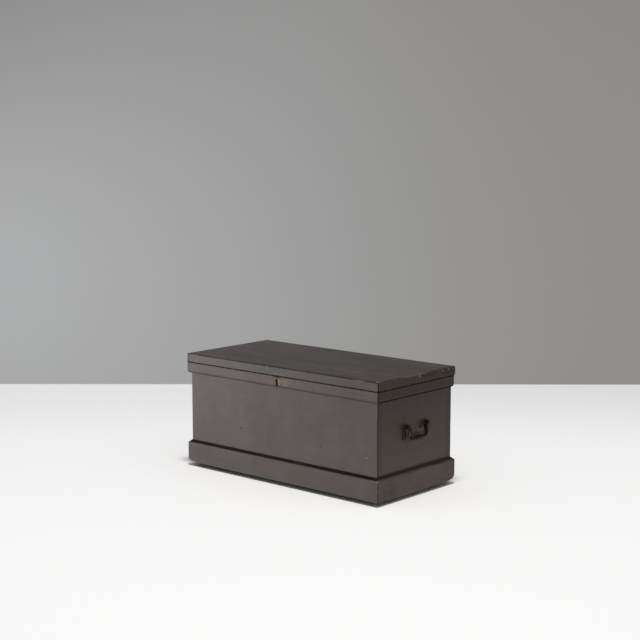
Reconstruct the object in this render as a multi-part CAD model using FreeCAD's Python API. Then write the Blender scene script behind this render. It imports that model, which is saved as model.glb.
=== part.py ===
"""Painted pine blanket chest: dovetailed carcase, mitred plinth, moulded rim, hinged lid, chest lock, drop handles.

Frame: origin on the floor under the middle of the chest, +X along its length, -Y to the front, +Z up.
All sizes are millimetres. Every piece is one node, and every group of equal fasteners is one node.
"""
import FreeCAD, Part
import math
import os

V = FreeCAD.Vector

# ---- Driving dimensions -------------------------------------------------------------------------
# Overall outline, set by the plinth and the top of the lid
chest_length = 950.0
chest_depth = 456.0
chest_height = 443.0

# Carcase of four dovetailed boards
board_thickness = 25.0
tails_per_corner = 5
pin_width = 12.0
dovetail_slope = 1.0 / 7.0

# Floor boards and the bearers that lift the chest off the ground
ground_clearance = 16.0
floor_thickness = 16.0
floor_board_count = 5
bearer_width = 44.0
bearer_inset = 62.0
bearer_end_inset = 46.0
tongue_length = 6.0
tongue_thickness = 5.0
tongue_clearance = 0.2

# Plinth round all four sides
plinth_thickness = 13.0
plinth_height = 85.5
plinth_bevel_height = 10.5
plinth_top_land = 2.0

# Moulding under the lid, on the front and the ends
rim_moulding_height = 42.7
rim_moulding_ovolo = 12.0

# Lid: two planks edged on three sides by a moulding that laps over the rim
lid_thickness = 22.0
lid_edge_height = 33.5
lid_edge_thickness = 12.0
lid_edge_rounding = 2.5
lid_back_overhang = 7.0
lid_swing_ease = 6.0
front_plank_share = 0.52
lid_clearance = 0.3
batten_width = 46.0
batten_thickness = 18.0
batten_chamfer = 5.0
batten_end_gap = 12.0
batten_end_distance = 150.0

# Butt hinges let into the rim and the lid
hinge_length = 76.0
hinge_end_distance = 165.0
hinge_leaf_width = 23.0
hinge_leaf_thickness = 2.2
hinge_knuckles = 3
knuckle_radius = 4.2
hinge_pin_radius = 2.0
hinge_pin_setback = 1.2
running_clearance = 0.05
knuckle_gap = 0.3
hinge_recess_clearance = 0.7
mortise_clearance = 0.2

# Chest lock let into the inside of the front board
lock_width = 94.0
lock_height = 58.0
lock_depth = 16.0
lock_plate = 2.0
lock_cap_wall = 1.5
lock_cap_width = 74.0
bolt_thickness = 3.6
bolt_travel = 8.0
bolt_bar_height = 7.0
bolt_finger_height = 4.4
bolt_drop = 17.0
bolt_talon_radius = 4.0
bolt_post_width = 4.0
bolt_end_gap = 1.0
bolt_guide_width = 6.0
bolt_guide_clearance = 0.3
spring_thickness = 0.8
spring_foot = 4.0
spring_length = 16.0
spring_drop = 9.0
link_spacing = 36.0
link_width = 4.0
link_wall = 2.4
link_drop = 16.0
link_plate_length = 84.0
link_plate_width = 20.0
slot_clearance = 1.2

# Keyhole through the rim moulding
keyhole_drop = 11.7
keyhole_length = 23.0
keyhole_radius = 5.0
keyway_width = 6.4
escutcheon_wall = 1.0
escutcheon_depth = 5.0
key_post_radius = 1.5

# Drop handles on the ends
handle_pivot_drop = 106.5
handle_stand_off = 14.0
bail_top_half_width = 47.0
bail_grip_half_width = 52.0
bail_drop = 45.0
bail_lean = 4.0
bail_rod_radius = 5.8
bail_grip_radius = 8.5
bail_corner_radius = 17.0
bail_pintle_radius = 4.0
bail_clearance = 0.3
bracket_width = 17.0
bracket_height = 56.0
bracket_thickness = 3.5
bracket_corner = 2.5
ear_thickness = 5.5
ear_radius = 8.5
ear_gap = 2.5

# Fasteners
nail_width = 4.2
nail_point_width = 1.6
nail_thickness = 2.4
nail_length = 34.0
front_nail_count = 7
end_nail_count = 3
batten_nail_count = 5
nail_end_distance = 42.0
rim_nail_drop = 9.0
lid_nail_drop = 7.0
nail_cover = 5.0
screw_head_radius = 3.6
screw_shank_radius = 1.7
screw_facets = 8
screw_edge_distance = 7.0
hinge_screw_count = 4
hinge_screw_stagger = 3.2
forged_facets = 12
bend_steps = 6
hinge_screw_length = 15.0
handle_screw_length = 18.0

# ---- Values worked out from them ----------------------------------------------------------------
carcase_length = chest_length - 2 * plinth_thickness
carcase_depth = chest_depth - 2 * plinth_thickness
half_length = carcase_length / 2
half_depth = carcase_depth / 2
inner_half_length = half_length - board_thickness
inner_half_depth = half_depth - board_thickness
carcase_bottom = ground_clearance + floor_thickness
lid_underside = chest_height - lid_thickness
rim_top = lid_underside - lid_clearance
carcase_height = rim_top - carcase_bottom
lid_edge_bottom = chest_height - lid_edge_height
rim_moulding_top = lid_edge_bottom - lid_clearance
rim_moulding_bottom = rim_moulding_top - rim_moulding_height
lid_half_length = chest_length / 2 - lid_edge_thickness
lid_front = -(chest_depth / 2 - lid_edge_thickness)
lid_back = half_depth + lid_back_overhang
hinge_axis_y = half_depth + hinge_pin_setback
hinge_axis_z = lid_underside - lid_clearance / 2
hinge_centre_x = half_length - hinge_end_distance
keyhole_top = rim_moulding_top - keyhole_drop
keyhole_bottom = keyhole_top - keyhole_length
keyhole_centre = keyhole_top - keyhole_radius
handle_pivot_height = rim_moulding_bottom - handle_pivot_drop
bail_pivot_x = half_length + handle_stand_off

UP = V(0, 0, 1)
ALONG = V(1, 0, 0)
BACK = V(0, 1, 0)
CENTRE = V(0, 0, 0)


# ---- Helpers ------------------------------------------------------------------------------------
def block(x0, x1, y0, y1, z0, z1):
    """Box between two values on each axis."""
    return Part.makeBox(x1 - x0, y1 - y0, z1 - z0, V(x0, y0, z0))


def prism(points, sweep):
    """Flat outline pushed along a vector."""
    return Part.Face(Part.makePolygon(points + [points[0]])).extrude(sweep)


def rod(radius, start, direction, length):
    """Round bar from a point along a direction."""
    return Part.makeCylinder(radius, length, start, direction)


def polygon_ring(radius, count, centre, first, second):
    """Corners of a regular polygon in the plane of two directions, its flats touching the radius's circle."""
    reach = radius / math.cos(math.pi / count)
    angles = [2 * math.pi * (i + 0.5) / count for i in range(count)]
    return [centre + first * (reach * math.cos(a)) + second * (reach * math.sin(a)) for a in angles]


def faceted(rings):
    """Solid with flat faces between polygon rings, closed at both ends."""
    count = len(rings[0])
    faces = [Part.Face(Part.makePolygon(ring + [ring[0]])) for ring in (rings[0], rings[-1])]
    for near, far in zip(rings, rings[1:]):
        for i in range(count):
            j = (i + 1) % count
            faces.append(Part.Face(Part.makePolygon([near[i], near[j], far[j], far[i], near[i]])))
    solid = Part.makeSolid(Part.makeShell(faces))
    if solid.Volume < 0:
        solid.reverse()
    return solid


def fused(shapes):
    """One solid from several that touch."""
    whole = shapes[0]
    for shape in shapes[1:]:
        whole = whole.fuse(shape)
    return whole.removeSplitter()


def turned(shape, degrees):
    """Copy turned about the chest's upright centre line."""
    copy = shape.copy()
    copy.rotate(CENTRE, UP, degrees)
    return copy


def mirrored_ends(shape):
    """Copy on the opposite end of the chest."""
    return shape.mirror(CENTRE, ALONG)


def spread(count, reach):
    """Evenly spaced places from -reach to +reach."""
    return [-reach + 2 * reach * i / (count - 1) for i in range(count)]


# ---- Fasteners ----------------------------------------------------------------------------------
def cut_nail(length=nail_length):
    """Wedge-shaped cut nail with its head at the origin, driven along +Y."""
    head = nail_width / 2
    point = nail_point_width / 2
    z0 = -nail_thickness / 2
    return prism([V(-head, 0, z0), V(head, 0, z0), V(point, length, z0), V(-point, length, z0)],
                 V(0, 0, nail_thickness))


def wood_screw(length):
    """Countersunk screw with its head at the origin, driven along -Z."""
    head_depth = screw_head_radius - screw_shank_radius
    sizes = [(0, screw_head_radius), (-head_depth, screw_shank_radius), (-length, screw_shank_radius)]
    return faceted([polygon_ring(radius, screw_facets, V(0, 0, height), ALONG, BACK) for height, radius in sizes])


def set_at(shape, place, axis=None, degrees=0):
    """Copy of a fastener, turned about an axis and moved to its place."""
    copy = shape.copy()
    if axis is not None:
        copy.rotate(CENTRE, axis, degrees)
    copy.translate(place)
    return copy


def face_nails(count, reach, proud, height, sides):
    """Nails through a moulding's outer face into the boards, on the named sides of the chest."""
    nail = cut_nail()
    nails = []
    for side in sides:
        angle = {"front": 0, "right": 90, "back": 180, "left": -90}[side]
        for along in spread(count, reach):
            nails.append(turned(set_at(nail, V(along, -proud, height)), angle))
    return nails


# ---- Carcase ------------------------------------------------------------------------------------
def corner_tails(side_x, side_y):
    """The tails at one corner: flared prisms as deep as the end board is thick."""
    pitch = carcase_height / tails_per_corner
    wide = (pitch - pin_width) / 2
    narrow = wide - dovetail_slope * board_thickness
    y0 = min(side_y * half_depth, side_y * inner_half_depth)
    tails = []
    for i in range(tails_per_corner):
        middle = carcase_bottom + pitch * (i + 0.5)
        outline = [V(side_x * inner_half_length, y0, middle - narrow),
                   V(side_x * half_length, y0, middle - wide),
                   V(side_x * half_length, y0, middle + wide),
                   V(side_x * inner_half_length, y0, middle + narrow)]
        tails.append(prism(outline, V(0, board_thickness, 0)))
    return tails


def tail_board(side_y):
    """Front or back board, with tails on both ends."""
    y0 = min(side_y * half_depth, side_y * inner_half_depth)
    board = block(-inner_half_length, inner_half_length, y0, y0 + board_thickness, carcase_bottom, rim_top)
    return fused([board] + corner_tails(-1, side_y) + corner_tails(1, side_y))


def keyhole(grow, y0, y1):
    """Keyhole shape between two depths, widened all round by grow."""
    half_way = keyway_width / 2 + grow
    round_part = rod(keyhole_radius + grow, V(0, y0, keyhole_centre), BACK, y1 - y0)
    keyway = block(-half_way, half_way, y0, y1, keyhole_bottom - grow, keyhole_centre)
    return fused([round_part, keyway])


def lock_mortise():
    """Room for the lock in the front board, open to the rim and to the inside."""
    half = lock_width / 2
    y1 = -inner_half_depth
    floor = rim_top - lock_height
    plate_room = block(-half, half, y1 - lock_plate, y1, floor, rim_top)
    selvedge_room = block(-half, half, y1 - lock_depth, y1, rim_top - lock_plate, rim_top)
    cap_half = lock_cap_width / 2 + mortise_clearance
    cap_room = block(-cap_half, cap_half, y1 - lock_depth - mortise_clearance, y1,
                     floor + lock_plate - mortise_clearance, rim_top)
    return fused([plate_room, selvedge_room, cap_room])


def front_board():
    """Front board with its lock mortise and keyhole."""
    return tail_board(-1).cut(lock_mortise()).cut(keyhole(0, -half_depth, -inner_half_depth))


def hinge_recess_in_rim(centre_x):
    """Leaf mortise in the top of the back board, deeper under the knuckles."""
    half = hinge_length / 2 + mortise_clearance
    leaf_front = hinge_axis_y - hinge_leaf_width
    room = knuckle_radius + hinge_recess_clearance
    leaf = block(centre_x - half, centre_x + half, leaf_front, half_depth,
                 rim_top - hinge_leaf_thickness, rim_top)
    barrel = block(centre_x - half, centre_x + half, hinge_axis_y - room, half_depth,
                   hinge_axis_z - room, rim_top)
    return leaf.fuse(barrel)


def back_board():
    """Back board with two hinge recesses in its top edge."""
    board = tail_board(1)
    for side in (-1, 1):
        board = board.cut(hinge_recess_in_rim(side * hinge_centre_x))
    return board


def end_board(side_x):
    """End board whose pins fill the spaces between the tails."""
    x0 = min(side_x * half_length, side_x * inner_half_length)
    board = block(x0, x0 + board_thickness, -half_depth, half_depth, carcase_bottom, rim_top)
    for side_y in (-1, 1):
        for tail in corner_tails(side_x, side_y):
            board = board.cut(tail)
    return board


def plank_outline(start, end, bottom, top, tongued, grooved):
    """Section of a plank as (across, height) pairs: tongue on its far edge, groove on its near edge."""
    middle = (bottom + top) / 2
    half_tongue = tongue_thickness / 2
    half_groove = half_tongue + tongue_clearance
    groove_end = start + tongue_length + tongue_clearance
    points = [(start, bottom), (end, bottom)]
    if tongued:
        tip = end + tongue_length
        points += [(end, middle - half_tongue), (tip, middle - half_tongue),
                   (tip, middle + half_tongue), (end, middle + half_tongue)]
    points += [(end, top), (start, top)]
    if grooved:
        points += [(start, middle + half_groove), (groove_end, middle + half_groove),
                   (groove_end, middle - half_groove), (start, middle - half_groove)]
    return points


def floor_board(index):
    """One tongued and grooved floor board, running from front to back under the carcase."""
    width = carcase_length / floor_board_count
    start = -half_length + index * width
    outline = plank_outline(start, start + width, ground_clearance, carcase_bottom,
                            index < floor_board_count - 1, index > 0)
    return prism([V(x, -half_depth, z) for x, z in outline], V(0, carcase_depth, 0))


def bearer(side_y):
    """Ground bearer along the chest, nailed across the floor boards."""
    centre = side_y * (half_depth - bearer_inset)
    reach = half_length - bearer_end_inset
    return block(-reach, reach, centre - bearer_width / 2, centre + bearer_width / 2, 0, ground_clearance)


# ---- Mouldings ----------------------------------------------------------------------------------
def moulding_run(profile, start, end, thickness, mitre_start, mitre_end):
    """Moulding along X with its back on y = 0 and its face to -Y, mitred where asked."""
    low = profile.BoundBox.ZMin
    high = profile.BoundBox.ZMax
    bar = profile.copy()
    bar.translate(V(start - thickness, 0, 0))
    bar = bar.extrude(V(end - start + 2 * thickness, 0, 0))
    far_start = start - thickness if mitre_start else start
    far_end = end + thickness if mitre_end else end
    plan = [V(start, 0, low), V(far_start, -thickness, low), V(far_end, -thickness, low), V(end, 0, low)]
    return bar.common(prism(plan, V(0, 0, high - low)))


def fit_round(profile, thickness, back_x, back_y, sides, runs_past):
    """Pieces of one moulding on the named sides; the ends run to runs_past when there is no back piece."""
    wraps = "back" in sides
    back = back_y if wraps else runs_past
    pieces = {"front": moulding_run(profile, -back_x, back_x, thickness, True, True)}
    pieces["front"].translate(V(0, -back_y, 0))
    right = moulding_run(profile, -back_y, back, thickness, True, wraps)
    right.translate(V(0, -back_x, 0))
    pieces["right"] = turned(right, 90)
    pieces["left"] = mirrored_ends(pieces["right"])
    if wraps:
        pieces["back"] = turned(pieces["front"], 180)
    return pieces


def plinth_profile():
    """Upright board with a bevelled top edge."""
    low = ground_clearance
    high = low + plinth_height
    shoulder = high - plinth_bevel_height
    points = [V(0, 0, low), V(0, -plinth_thickness, low), V(0, -plinth_thickness, shoulder),
              V(0, -plinth_top_land, high), V(0, 0, high)]
    return Part.Face(Part.makePolygon(points + [points[0]]))


def rim_moulding_profile():
    """Flat band that rounds under into an ovolo."""
    radius = rim_moulding_ovolo
    face = -plinth_thickness
    low = rim_moulding_bottom
    high = rim_moulding_top
    turn = radius * math.sqrt(0.5)
    lip = face + radius
    arc = Part.Arc(V(0, face, low + radius), V(0, lip - turn, low + radius - turn), V(0, lip, low)).toShape()
    edges = [Part.makeLine(V(0, 0, high), V(0, face, high)),
             Part.makeLine(V(0, face, high), V(0, face, low + radius)),
             arc,
             Part.makeLine(V(0, lip, low), V(0, 0, low)),
             Part.makeLine(V(0, 0, low), V(0, 0, high))]
    return Part.Face(Part.Wire(edges))


def lid_edge_profile():
    """Flat edging with a softened top corner."""
    radius = lid_edge_rounding
    face = -lid_edge_thickness
    turn = radius * math.sqrt(0.5)
    top = chest_height
    start = V(0, face, top - radius)
    middle = V(0, face + radius - turn, top - radius + turn)
    end = V(0, face + radius, top)
    edges = [Part.makeLine(V(0, 0, lid_edge_bottom), V(0, face, lid_edge_bottom)),
             Part.makeLine(V(0, face, lid_edge_bottom), start),
             Part.Arc(start, middle, end).toShape(),
             Part.makeLine(end, V(0, 0, top)),
             Part.makeLine(V(0, 0, top), V(0, 0, lid_edge_bottom))]
    return Part.Face(Part.Wire(edges))


def plinth():
    """Four mitred plinth boards."""
    return fit_round(plinth_profile(), plinth_thickness, half_length, half_depth,
                     ("front", "right", "left", "back"), 0)


def rim_moulding():
    """Moulding on the front and the ends, with the keyhole through its front."""
    pieces = fit_round(rim_moulding_profile(), plinth_thickness, half_length, half_depth,
                       ("front", "right", "left"), half_depth)
    outer = -chest_depth / 2
    pieces["front"] = pieces["front"].cut(keyhole(0, outer, -half_depth))
    pieces["front"] = pieces["front"].cut(keyhole(escutcheon_wall, outer, outer + escutcheon_depth))
    return pieces


def keyhole_escutcheon():
    """Thin lining flush with the moulding all round the keyhole."""
    outer = -chest_depth / 2
    inner = outer + escutcheon_depth
    lining = keyhole(escutcheon_wall, outer, inner).cut(keyhole(0, outer, inner))
    solid_band = moulding_run(rim_moulding_profile(), -half_length, half_length, plinth_thickness, True, True)
    solid_band.translate(V(0, -half_depth, 0))
    return lining.common(solid_band)


# ---- Lid ----------------------------------------------------------------------------------------
def hinge_recess_in_lid(centre_x):
    """Leaf mortise in the lid's underside, deeper and open to the back over the knuckles."""
    half = hinge_length / 2 + mortise_clearance
    leaf_front = hinge_axis_y - hinge_leaf_width
    room = knuckle_radius + hinge_recess_clearance
    leaf = block(centre_x - half, centre_x + half, leaf_front, lid_back,
                 lid_underside, lid_underside + hinge_leaf_thickness)
    barrel = block(centre_x - half, centre_x + half, hinge_axis_y - room, lid_back,
                   lid_underside, hinge_axis_z + room)
    return leaf.fuse(barrel)


def lid_planks():
    """Front and back planks, tongued together along the lid."""
    joint = lid_front + front_plank_share * (lid_back - lid_front)
    length = V(2 * lid_half_length, 0, 0)
    front = plank_outline(lid_front, joint, lid_underside, chest_height, True, False)
    back = plank_outline(joint, lid_back, lid_underside, chest_height, False, True)
    front_plank = prism([V(-lid_half_length, y, z) for y, z in front], length)
    back_plank = prism([V(-lid_half_length, y, z) for y, z in back], length)
    for side in (-1, 1):
        back_plank = back_plank.cut(hinge_recess_in_lid(side * hinge_centre_x))
    return front_plank, back_plank


def lid_edging():
    """Edging round the front and ends; its back lower corners are eased so that the lid swings clear."""
    pieces = fit_round(lid_edge_profile(), lid_edge_thickness, lid_half_length, -lid_front,
                       ("front", "right", "left"), lid_back)
    ease = lid_swing_ease
    reach = chest_length
    wedge = prism([V(-reach, lid_back - ease, lid_edge_bottom), V(-reach, lid_back, lid_edge_bottom),
                   V(-reach, lid_back, lid_edge_bottom + ease)], V(2 * reach, 0, 0))
    for side in ("right", "left"):
        pieces[side] = pieces[side].cut(wedge)
    return pieces


def lid_batten(side_x):
    """Batten across the underside of the lid, chamfered on its lower edges."""
    centre = side_x * (half_length - batten_end_distance)
    bottom = lid_underside - batten_thickness
    reach = inner_half_depth - batten_end_gap
    bar = block(centre - batten_width / 2, centre + batten_width / 2, -reach, reach, bottom, lid_underside)
    lower_edges = [edge for edge in bar.Edges if abs(edge.BoundBox.ZMax - bottom) < 0.001]
    return bar.makeChamfer(batten_chamfer, lower_edges)


# ---- Hinges -------------------------------------------------------------------------------------
def hinge_leaf(centre_x, on_lid):
    """One leaf with its share of the knuckles; the body leaf takes the outer ones."""
    pitch = hinge_length / hinge_knuckles
    start = centre_x - hinge_length / 2
    front = hinge_axis_y - hinge_leaf_width
    root = hinge_axis_y - knuckle_radius - knuckle_gap
    bottom = lid_underside if on_lid else rim_top - hinge_leaf_thickness
    top = bottom + hinge_leaf_thickness
    parts = [block(start, start + hinge_length, front, root, bottom, top)]
    for i in range(hinge_knuckles):
        if (i % 2 == 1) == on_lid:
            x0 = start + i * pitch + (knuckle_gap / 2 if i > 0 else 0)
            x1 = start + (i + 1) * pitch - (knuckle_gap / 2 if i < hinge_knuckles - 1 else 0)
            parts.append(block(x0, x1, root, hinge_axis_y, bottom, top))
            parts.append(rod(knuckle_radius, V(x0, hinge_axis_y, hinge_axis_z), ALONG, x1 - x0))
    bore = rod(hinge_pin_radius + running_clearance, V(start, hinge_axis_y, hinge_axis_z), ALONG, hinge_length)
    return fused(parts).cut(bore)


def hinge_pin(centre_x):
    """Pin through all the knuckles."""
    return rod(hinge_pin_radius, V(centre_x - hinge_length / 2, hinge_axis_y, hinge_axis_z), ALONG, hinge_length)


def hinge_screws(centre_x, on_lid):
    """Screws through one leaf, staggered as the leaf is drilled."""
    screw = wood_screw(hinge_screw_length)
    middle = hinge_axis_y - knuckle_radius - (hinge_leaf_width - knuckle_radius) / 2
    height = lid_underside if on_lid else rim_top
    flip = 180 if on_lid else 0
    screws = []
    for i, along in enumerate(spread(hinge_screw_count, hinge_length / 2 - screw_edge_distance)):
        outer = i in (0, hinge_screw_count - 1)
        offset = hinge_screw_stagger if outer else -hinge_screw_stagger
        screws.append(set_at(screw, V(centre_x + along, middle + offset, height), ALONG, flip))
    return screws


# ---- Lock ---------------------------------------------------------------------------------------
def link_y():
    """Depth of the links' middle plane, half way through the lock."""
    return -inner_half_depth - lock_plate - (lock_depth - lock_plate) / 2


def lock_backplate():
    """Plate seen from inside the chest, turned over into the slotted selvedge, with two guides for the bolt."""
    half = lock_width / 2
    y1 = -inner_half_depth
    upright = block(-half, half, y1 - lock_plate, y1, rim_top - lock_height, rim_top)
    selvedge = block(-half, half, y1 - lock_depth, y1, rim_top - lock_plate, rim_top)
    parts = [upright, selvedge]
    bolt_back = link_y() + bolt_thickness / 2 + bolt_guide_clearance
    bar_top = rim_top - bolt_drop
    for side in (-1, 1):
        middle = side * link_spacing / 4 - bolt_travel / 2
        parts.append(block(middle - bolt_guide_width / 2, middle + bolt_guide_width / 2, bolt_back,
                           y1 - lock_plate, bar_top - bolt_bar_height, bar_top))
    plate = fused(parts)
    slot_x = link_width / 2 + slot_clearance
    slot_y = bolt_thickness / 2 + link_wall + 2 * slot_clearance
    for side in (-1, 1):
        middle = side * link_spacing / 2
        plate = plate.cut(block(middle - slot_x, middle + slot_x, link_y() - slot_y, link_y() + slot_y,
                                rim_top - 2 * lock_plate, rim_top))
    return plate


def lock_cap():
    """Shallow box over the works, with the keyhole in its face."""
    half = lock_cap_width / 2
    y0 = -inner_half_depth - lock_depth
    y1 = -inner_half_depth - lock_plate
    low = rim_top - lock_height + lock_plate
    high = rim_top - lock_plate
    shell = block(-half, half, y0, y1, low, high)
    room = block(-half + lock_cap_wall, half - lock_cap_wall, y0 + lock_cap_wall, y1, low + lock_cap_wall, high)
    return shell.cut(room).cut(keyhole(0, y0, y1))


def lock_bolt():
    """Sliding bolt: a bar with two upright fingers that slide through the links, and a talon for the key."""
    y0 = link_y() - bolt_thickness / 2
    bar_top = rim_top - bolt_drop
    bar_low = bar_top - bolt_bar_height
    finger_top = rim_top - link_drop / 2
    finger_low = finger_top - bolt_finger_height
    across = V(0, bolt_thickness, 0)
    parts = []
    for side in (-1, 1):
        tip = side * link_spacing / 2 - link_width / 2 - bolt_end_gap
        root = tip - bolt_travel
        heel = root - bolt_post_width
        outline = [V(heel, y0, bar_low), V(root, y0, bar_low), V(root, y0, finger_low), V(tip, y0, finger_low),
                   V(tip, y0, finger_top), V(heel, y0, finger_top)]
        parts.append(prism(outline, across))
    left = parts[0].BoundBox.XMin
    right = parts[1].BoundBox.XMax
    bar = block(left, right, y0, y0 + bolt_thickness, bar_low, bar_top)
    talon = rod(bolt_talon_radius, V(-bolt_travel / 2, y0, bar_low), BACK, bolt_thickness)
    return fused([bar] + parts).cut(talon)


def bolt_spring():
    """Leaf spring on a foot on the backplate, pressing up on the bolt's bar."""
    y0 = link_y() - bolt_thickness / 2
    tip_top = rim_top - bolt_drop - bolt_bar_height - bolt_guide_clearance
    foot_top = tip_top - spring_drop
    tip_x = -link_spacing / 2 + spring_foot
    foot_x = tip_x - spring_length
    leaf = [V(foot_x, y0, foot_top - spring_thickness), V(tip_x, y0, tip_top - spring_thickness),
            V(tip_x, y0, tip_top), V(foot_x, y0, foot_top)]
    foot = block(foot_x - spring_foot, foot_x, y0, -inner_half_depth - lock_plate,
                 foot_top - spring_foot, foot_top)
    return fused([prism(leaf, V(0, bolt_thickness, 0)), foot])


def key_post():
    """Pin that a hollow key turns on."""
    length = lock_depth - lock_plate - lock_cap_wall
    return rod(key_post_radius, V(0, -inner_half_depth - lock_plate - length, keyhole_centre), BACK, length)


def link_plate():
    """Plate on the lid's underside with two links that drop through the selvedge."""
    half = link_plate_length / 2
    top = lid_underside + lock_plate
    plate = block(-half, half, link_y() - link_plate_width / 2, link_y() + link_plate_width / 2,
                  lid_underside, top)
    eye_half = bolt_thickness / 2 + slot_clearance / 2
    wall_half = eye_half + link_wall
    low = rim_top - link_drop
    parts = [plate]
    for side in (-1, 1):
        middle = side * link_spacing / 2
        x0 = middle - link_width / 2
        x1 = middle + link_width / 2
        link = block(x0, x1, link_y() - wall_half, link_y() + wall_half, low, top)
        eye = block(x0, x1, link_y() - eye_half, link_y() + eye_half, low + link_wall, lid_underside - 3)
        parts.append(link.cut(eye))
    return fused(parts)


def link_plate_screws():
    """Screws up through the link plate into the lid."""
    screw = wood_screw(hinge_screw_length)
    return [set_at(screw, V(along, link_y(), lid_underside), ALONG, 180)
            for along in spread(2, link_plate_length / 2 - screw_edge_distance)]


def lock_screws():
    """Screws through the corners of the backplate, from inside the chest."""
    screw = wood_screw(hinge_screw_length)
    reach_x = (lock_width + lock_cap_width) / 4
    screws = []
    for height in (rim_top - lock_plate - screw_edge_distance, rim_top - lock_height + screw_edge_distance):
        for side in (-1, 1):
            screws.append(set_at(screw, V(side * reach_x, -inner_half_depth, height), ALONG, -90))
    return screws


# ---- Handles, modelled on the right end --------------------------------------------------------
def handle_bracket(side_y):
    """Upright plate with an ear that carries one end of the bail."""
    inner = bail_top_half_width + bail_rod_radius + ear_gap
    outer = inner + bracket_width
    y0 = min(side_y * inner, side_y * outer)
    top = handle_pivot_height + ear_radius
    x0 = half_length
    plate = block(x0, x0 + bracket_thickness, y0, y0 + bracket_width, top - bracket_height, top)
    corners = [edge for edge in plate.Edges if edge.BoundBox.XLength > bracket_thickness / 2]
    plate = plate.makeChamfer(bracket_corner, corners)
    ear_y0 = min(side_y * inner, side_y * (inner + ear_thickness))
    low = handle_pivot_height - ear_radius
    web = block(x0, bail_pivot_x, ear_y0, ear_y0 + ear_thickness, low, top)
    boss = rod(ear_radius, V(bail_pivot_x, ear_y0, handle_pivot_height), BACK, ear_thickness)
    hole = rod(bail_pintle_radius + bail_clearance, V(bail_pivot_x, ear_y0, handle_pivot_height), BACK,
               ear_thickness)
    return fused([plate, web, boss]).cut(hole)


def bail_side_rings():
    """Sections of one side from the grip's end, round the bend and up the splayed arm, in the Y-Z plane."""
    splay = bail_grip_half_width - bail_top_half_width
    turn = math.pi / 2 + math.atan2(splay, bail_drop)
    tangent = bail_corner_radius * math.tan(turn / 2)
    bend_centre = V(0, bail_grip_half_width - tangent, bail_corner_radius - bail_drop)
    rings = []
    for step in range(bend_steps + 1):
        angle = turn * step / bend_steps
        outward = V(0, math.sin(angle), -math.cos(angle))
        rings.append((bend_centre + outward * bail_corner_radius, outward, bail_rod_radius))
    arm_way = V(0, -splay, bail_drop).normalize()
    rings.append((V(0, bail_top_half_width, 0) + arm_way * bail_rod_radius, outward, bail_rod_radius))
    return rings


def bail():
    """Drop handle: arms, bends and swelled grip in one bar, with turned-out pintles in the ears."""
    right = bail_side_rings()
    left = [(V(0, -place.y, place.z), V(0, -outward.y, outward.z), radius) for place, outward, radius in right]
    swell = right[0][0].y / 3
    grip = [(V(0, y, -bail_drop), V(0, 0, -1), bail_grip_radius) for y in (-swell, swell)]
    bar = faceted([polygon_ring(radius, forged_facets, place, ALONG, outward)
                   for place, outward, radius in left[::-1] + grip + right])
    reach = bail_rod_radius + ear_gap + ear_thickness + ear_gap
    pintles = [rod(bail_pintle_radius, V(0, side * bail_top_half_width, 0), V(0, side, 0), reach)
               for side in (-1, 1)]
    handle = fused([bar] + pintles)
    handle.rotate(CENTRE, BACK, -bail_lean)
    handle.translate(V(bail_pivot_x, 0, handle_pivot_height))
    return handle


def handle_screws():
    """Two screws in each bracket, driven into the end board."""
    screw = wood_screw(handle_screw_length)
    middle = bail_top_half_width + bail_rod_radius + ear_gap + (bracket_width + ear_thickness) / 2
    top = handle_pivot_height + ear_radius
    screws = []
    for side_y in (-1, 1):
        for height in (top - 2 * ear_radius - screw_edge_distance, top - bracket_height + screw_edge_distance):
            screws.append(set_at(screw, V(half_length + bracket_thickness, side_y * middle, height), BACK, 90))
    return screws


# ---- Nail groups --------------------------------------------------------------------------------
def end_nails(height):
    """Nails through a moulding on both ends of the chest."""
    return face_nails(end_nail_count, half_depth - nail_end_distance, chest_length / 2, height,
                      ("left", "right"))


def plinth_nails():
    """Nails through all four plinth boards."""
    height = ground_clearance + plinth_height / 2
    long_sides = face_nails(front_nail_count, half_length - nail_end_distance, chest_depth / 2, height,
                            ("front", "back"))
    return long_sides + end_nails(height)


def rim_nails():
    """Nails through the flat of the rim moulding."""
    height = rim_moulding_top - rim_nail_drop
    long_side = face_nails(front_nail_count - 1, half_length - nail_end_distance, chest_depth / 2, height,
                           ("front",))
    return long_side + end_nails(height)


def lid_edge_nails():
    """Nails through the edging into the edges of the lid planks."""
    height = chest_height - lid_nail_drop
    long_side = face_nails(front_nail_count, half_length - nail_end_distance, chest_depth / 2, height,
                           ("front",))
    return long_side + end_nails(height)


def upward_nail(x, y, bottom, length=nail_length):
    """Nail driven straight up from a bottom face."""
    return set_at(cut_nail(length), V(x, y, bottom), ALONG, 90)


def floor_nails():
    """Two nails at each end of every floor board, up into the front and back boards."""
    width = carcase_length / floor_board_count
    nails = []
    for i in range(floor_board_count):
        middle = -half_length + (i + 0.5) * width
        for offset in (-width / 4, width / 4):
            for side_y in (-1, 1):
                nails.append(upward_nail(middle + offset, side_y * (half_depth - board_thickness / 2),
                                         ground_clearance))
    return nails


def bearer_nails():
    """One nail up through each bearer into every floor board."""
    width = carcase_length / floor_board_count
    length = ground_clearance + floor_thickness - nail_cover
    nails = []
    for i in range(floor_board_count):
        middle = -half_length + (i + 0.5) * width
        for side_y in (-1, 1):
            nails.append(upward_nail(middle, side_y * (half_depth - bearer_inset), 0, length))
    return nails


def batten_nails():
    """Nails up through both battens into the lid planks."""
    length = batten_thickness + lid_thickness - nail_cover
    bottom = lid_underside - batten_thickness
    nails = []
    for side_x in (-1, 1):
        for along in spread(batten_nail_count, inner_half_depth - batten_end_gap - nail_end_distance):
            nails.append(upward_nail(side_x * (half_length - batten_end_distance), along, bottom, length))
    return nails


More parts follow.
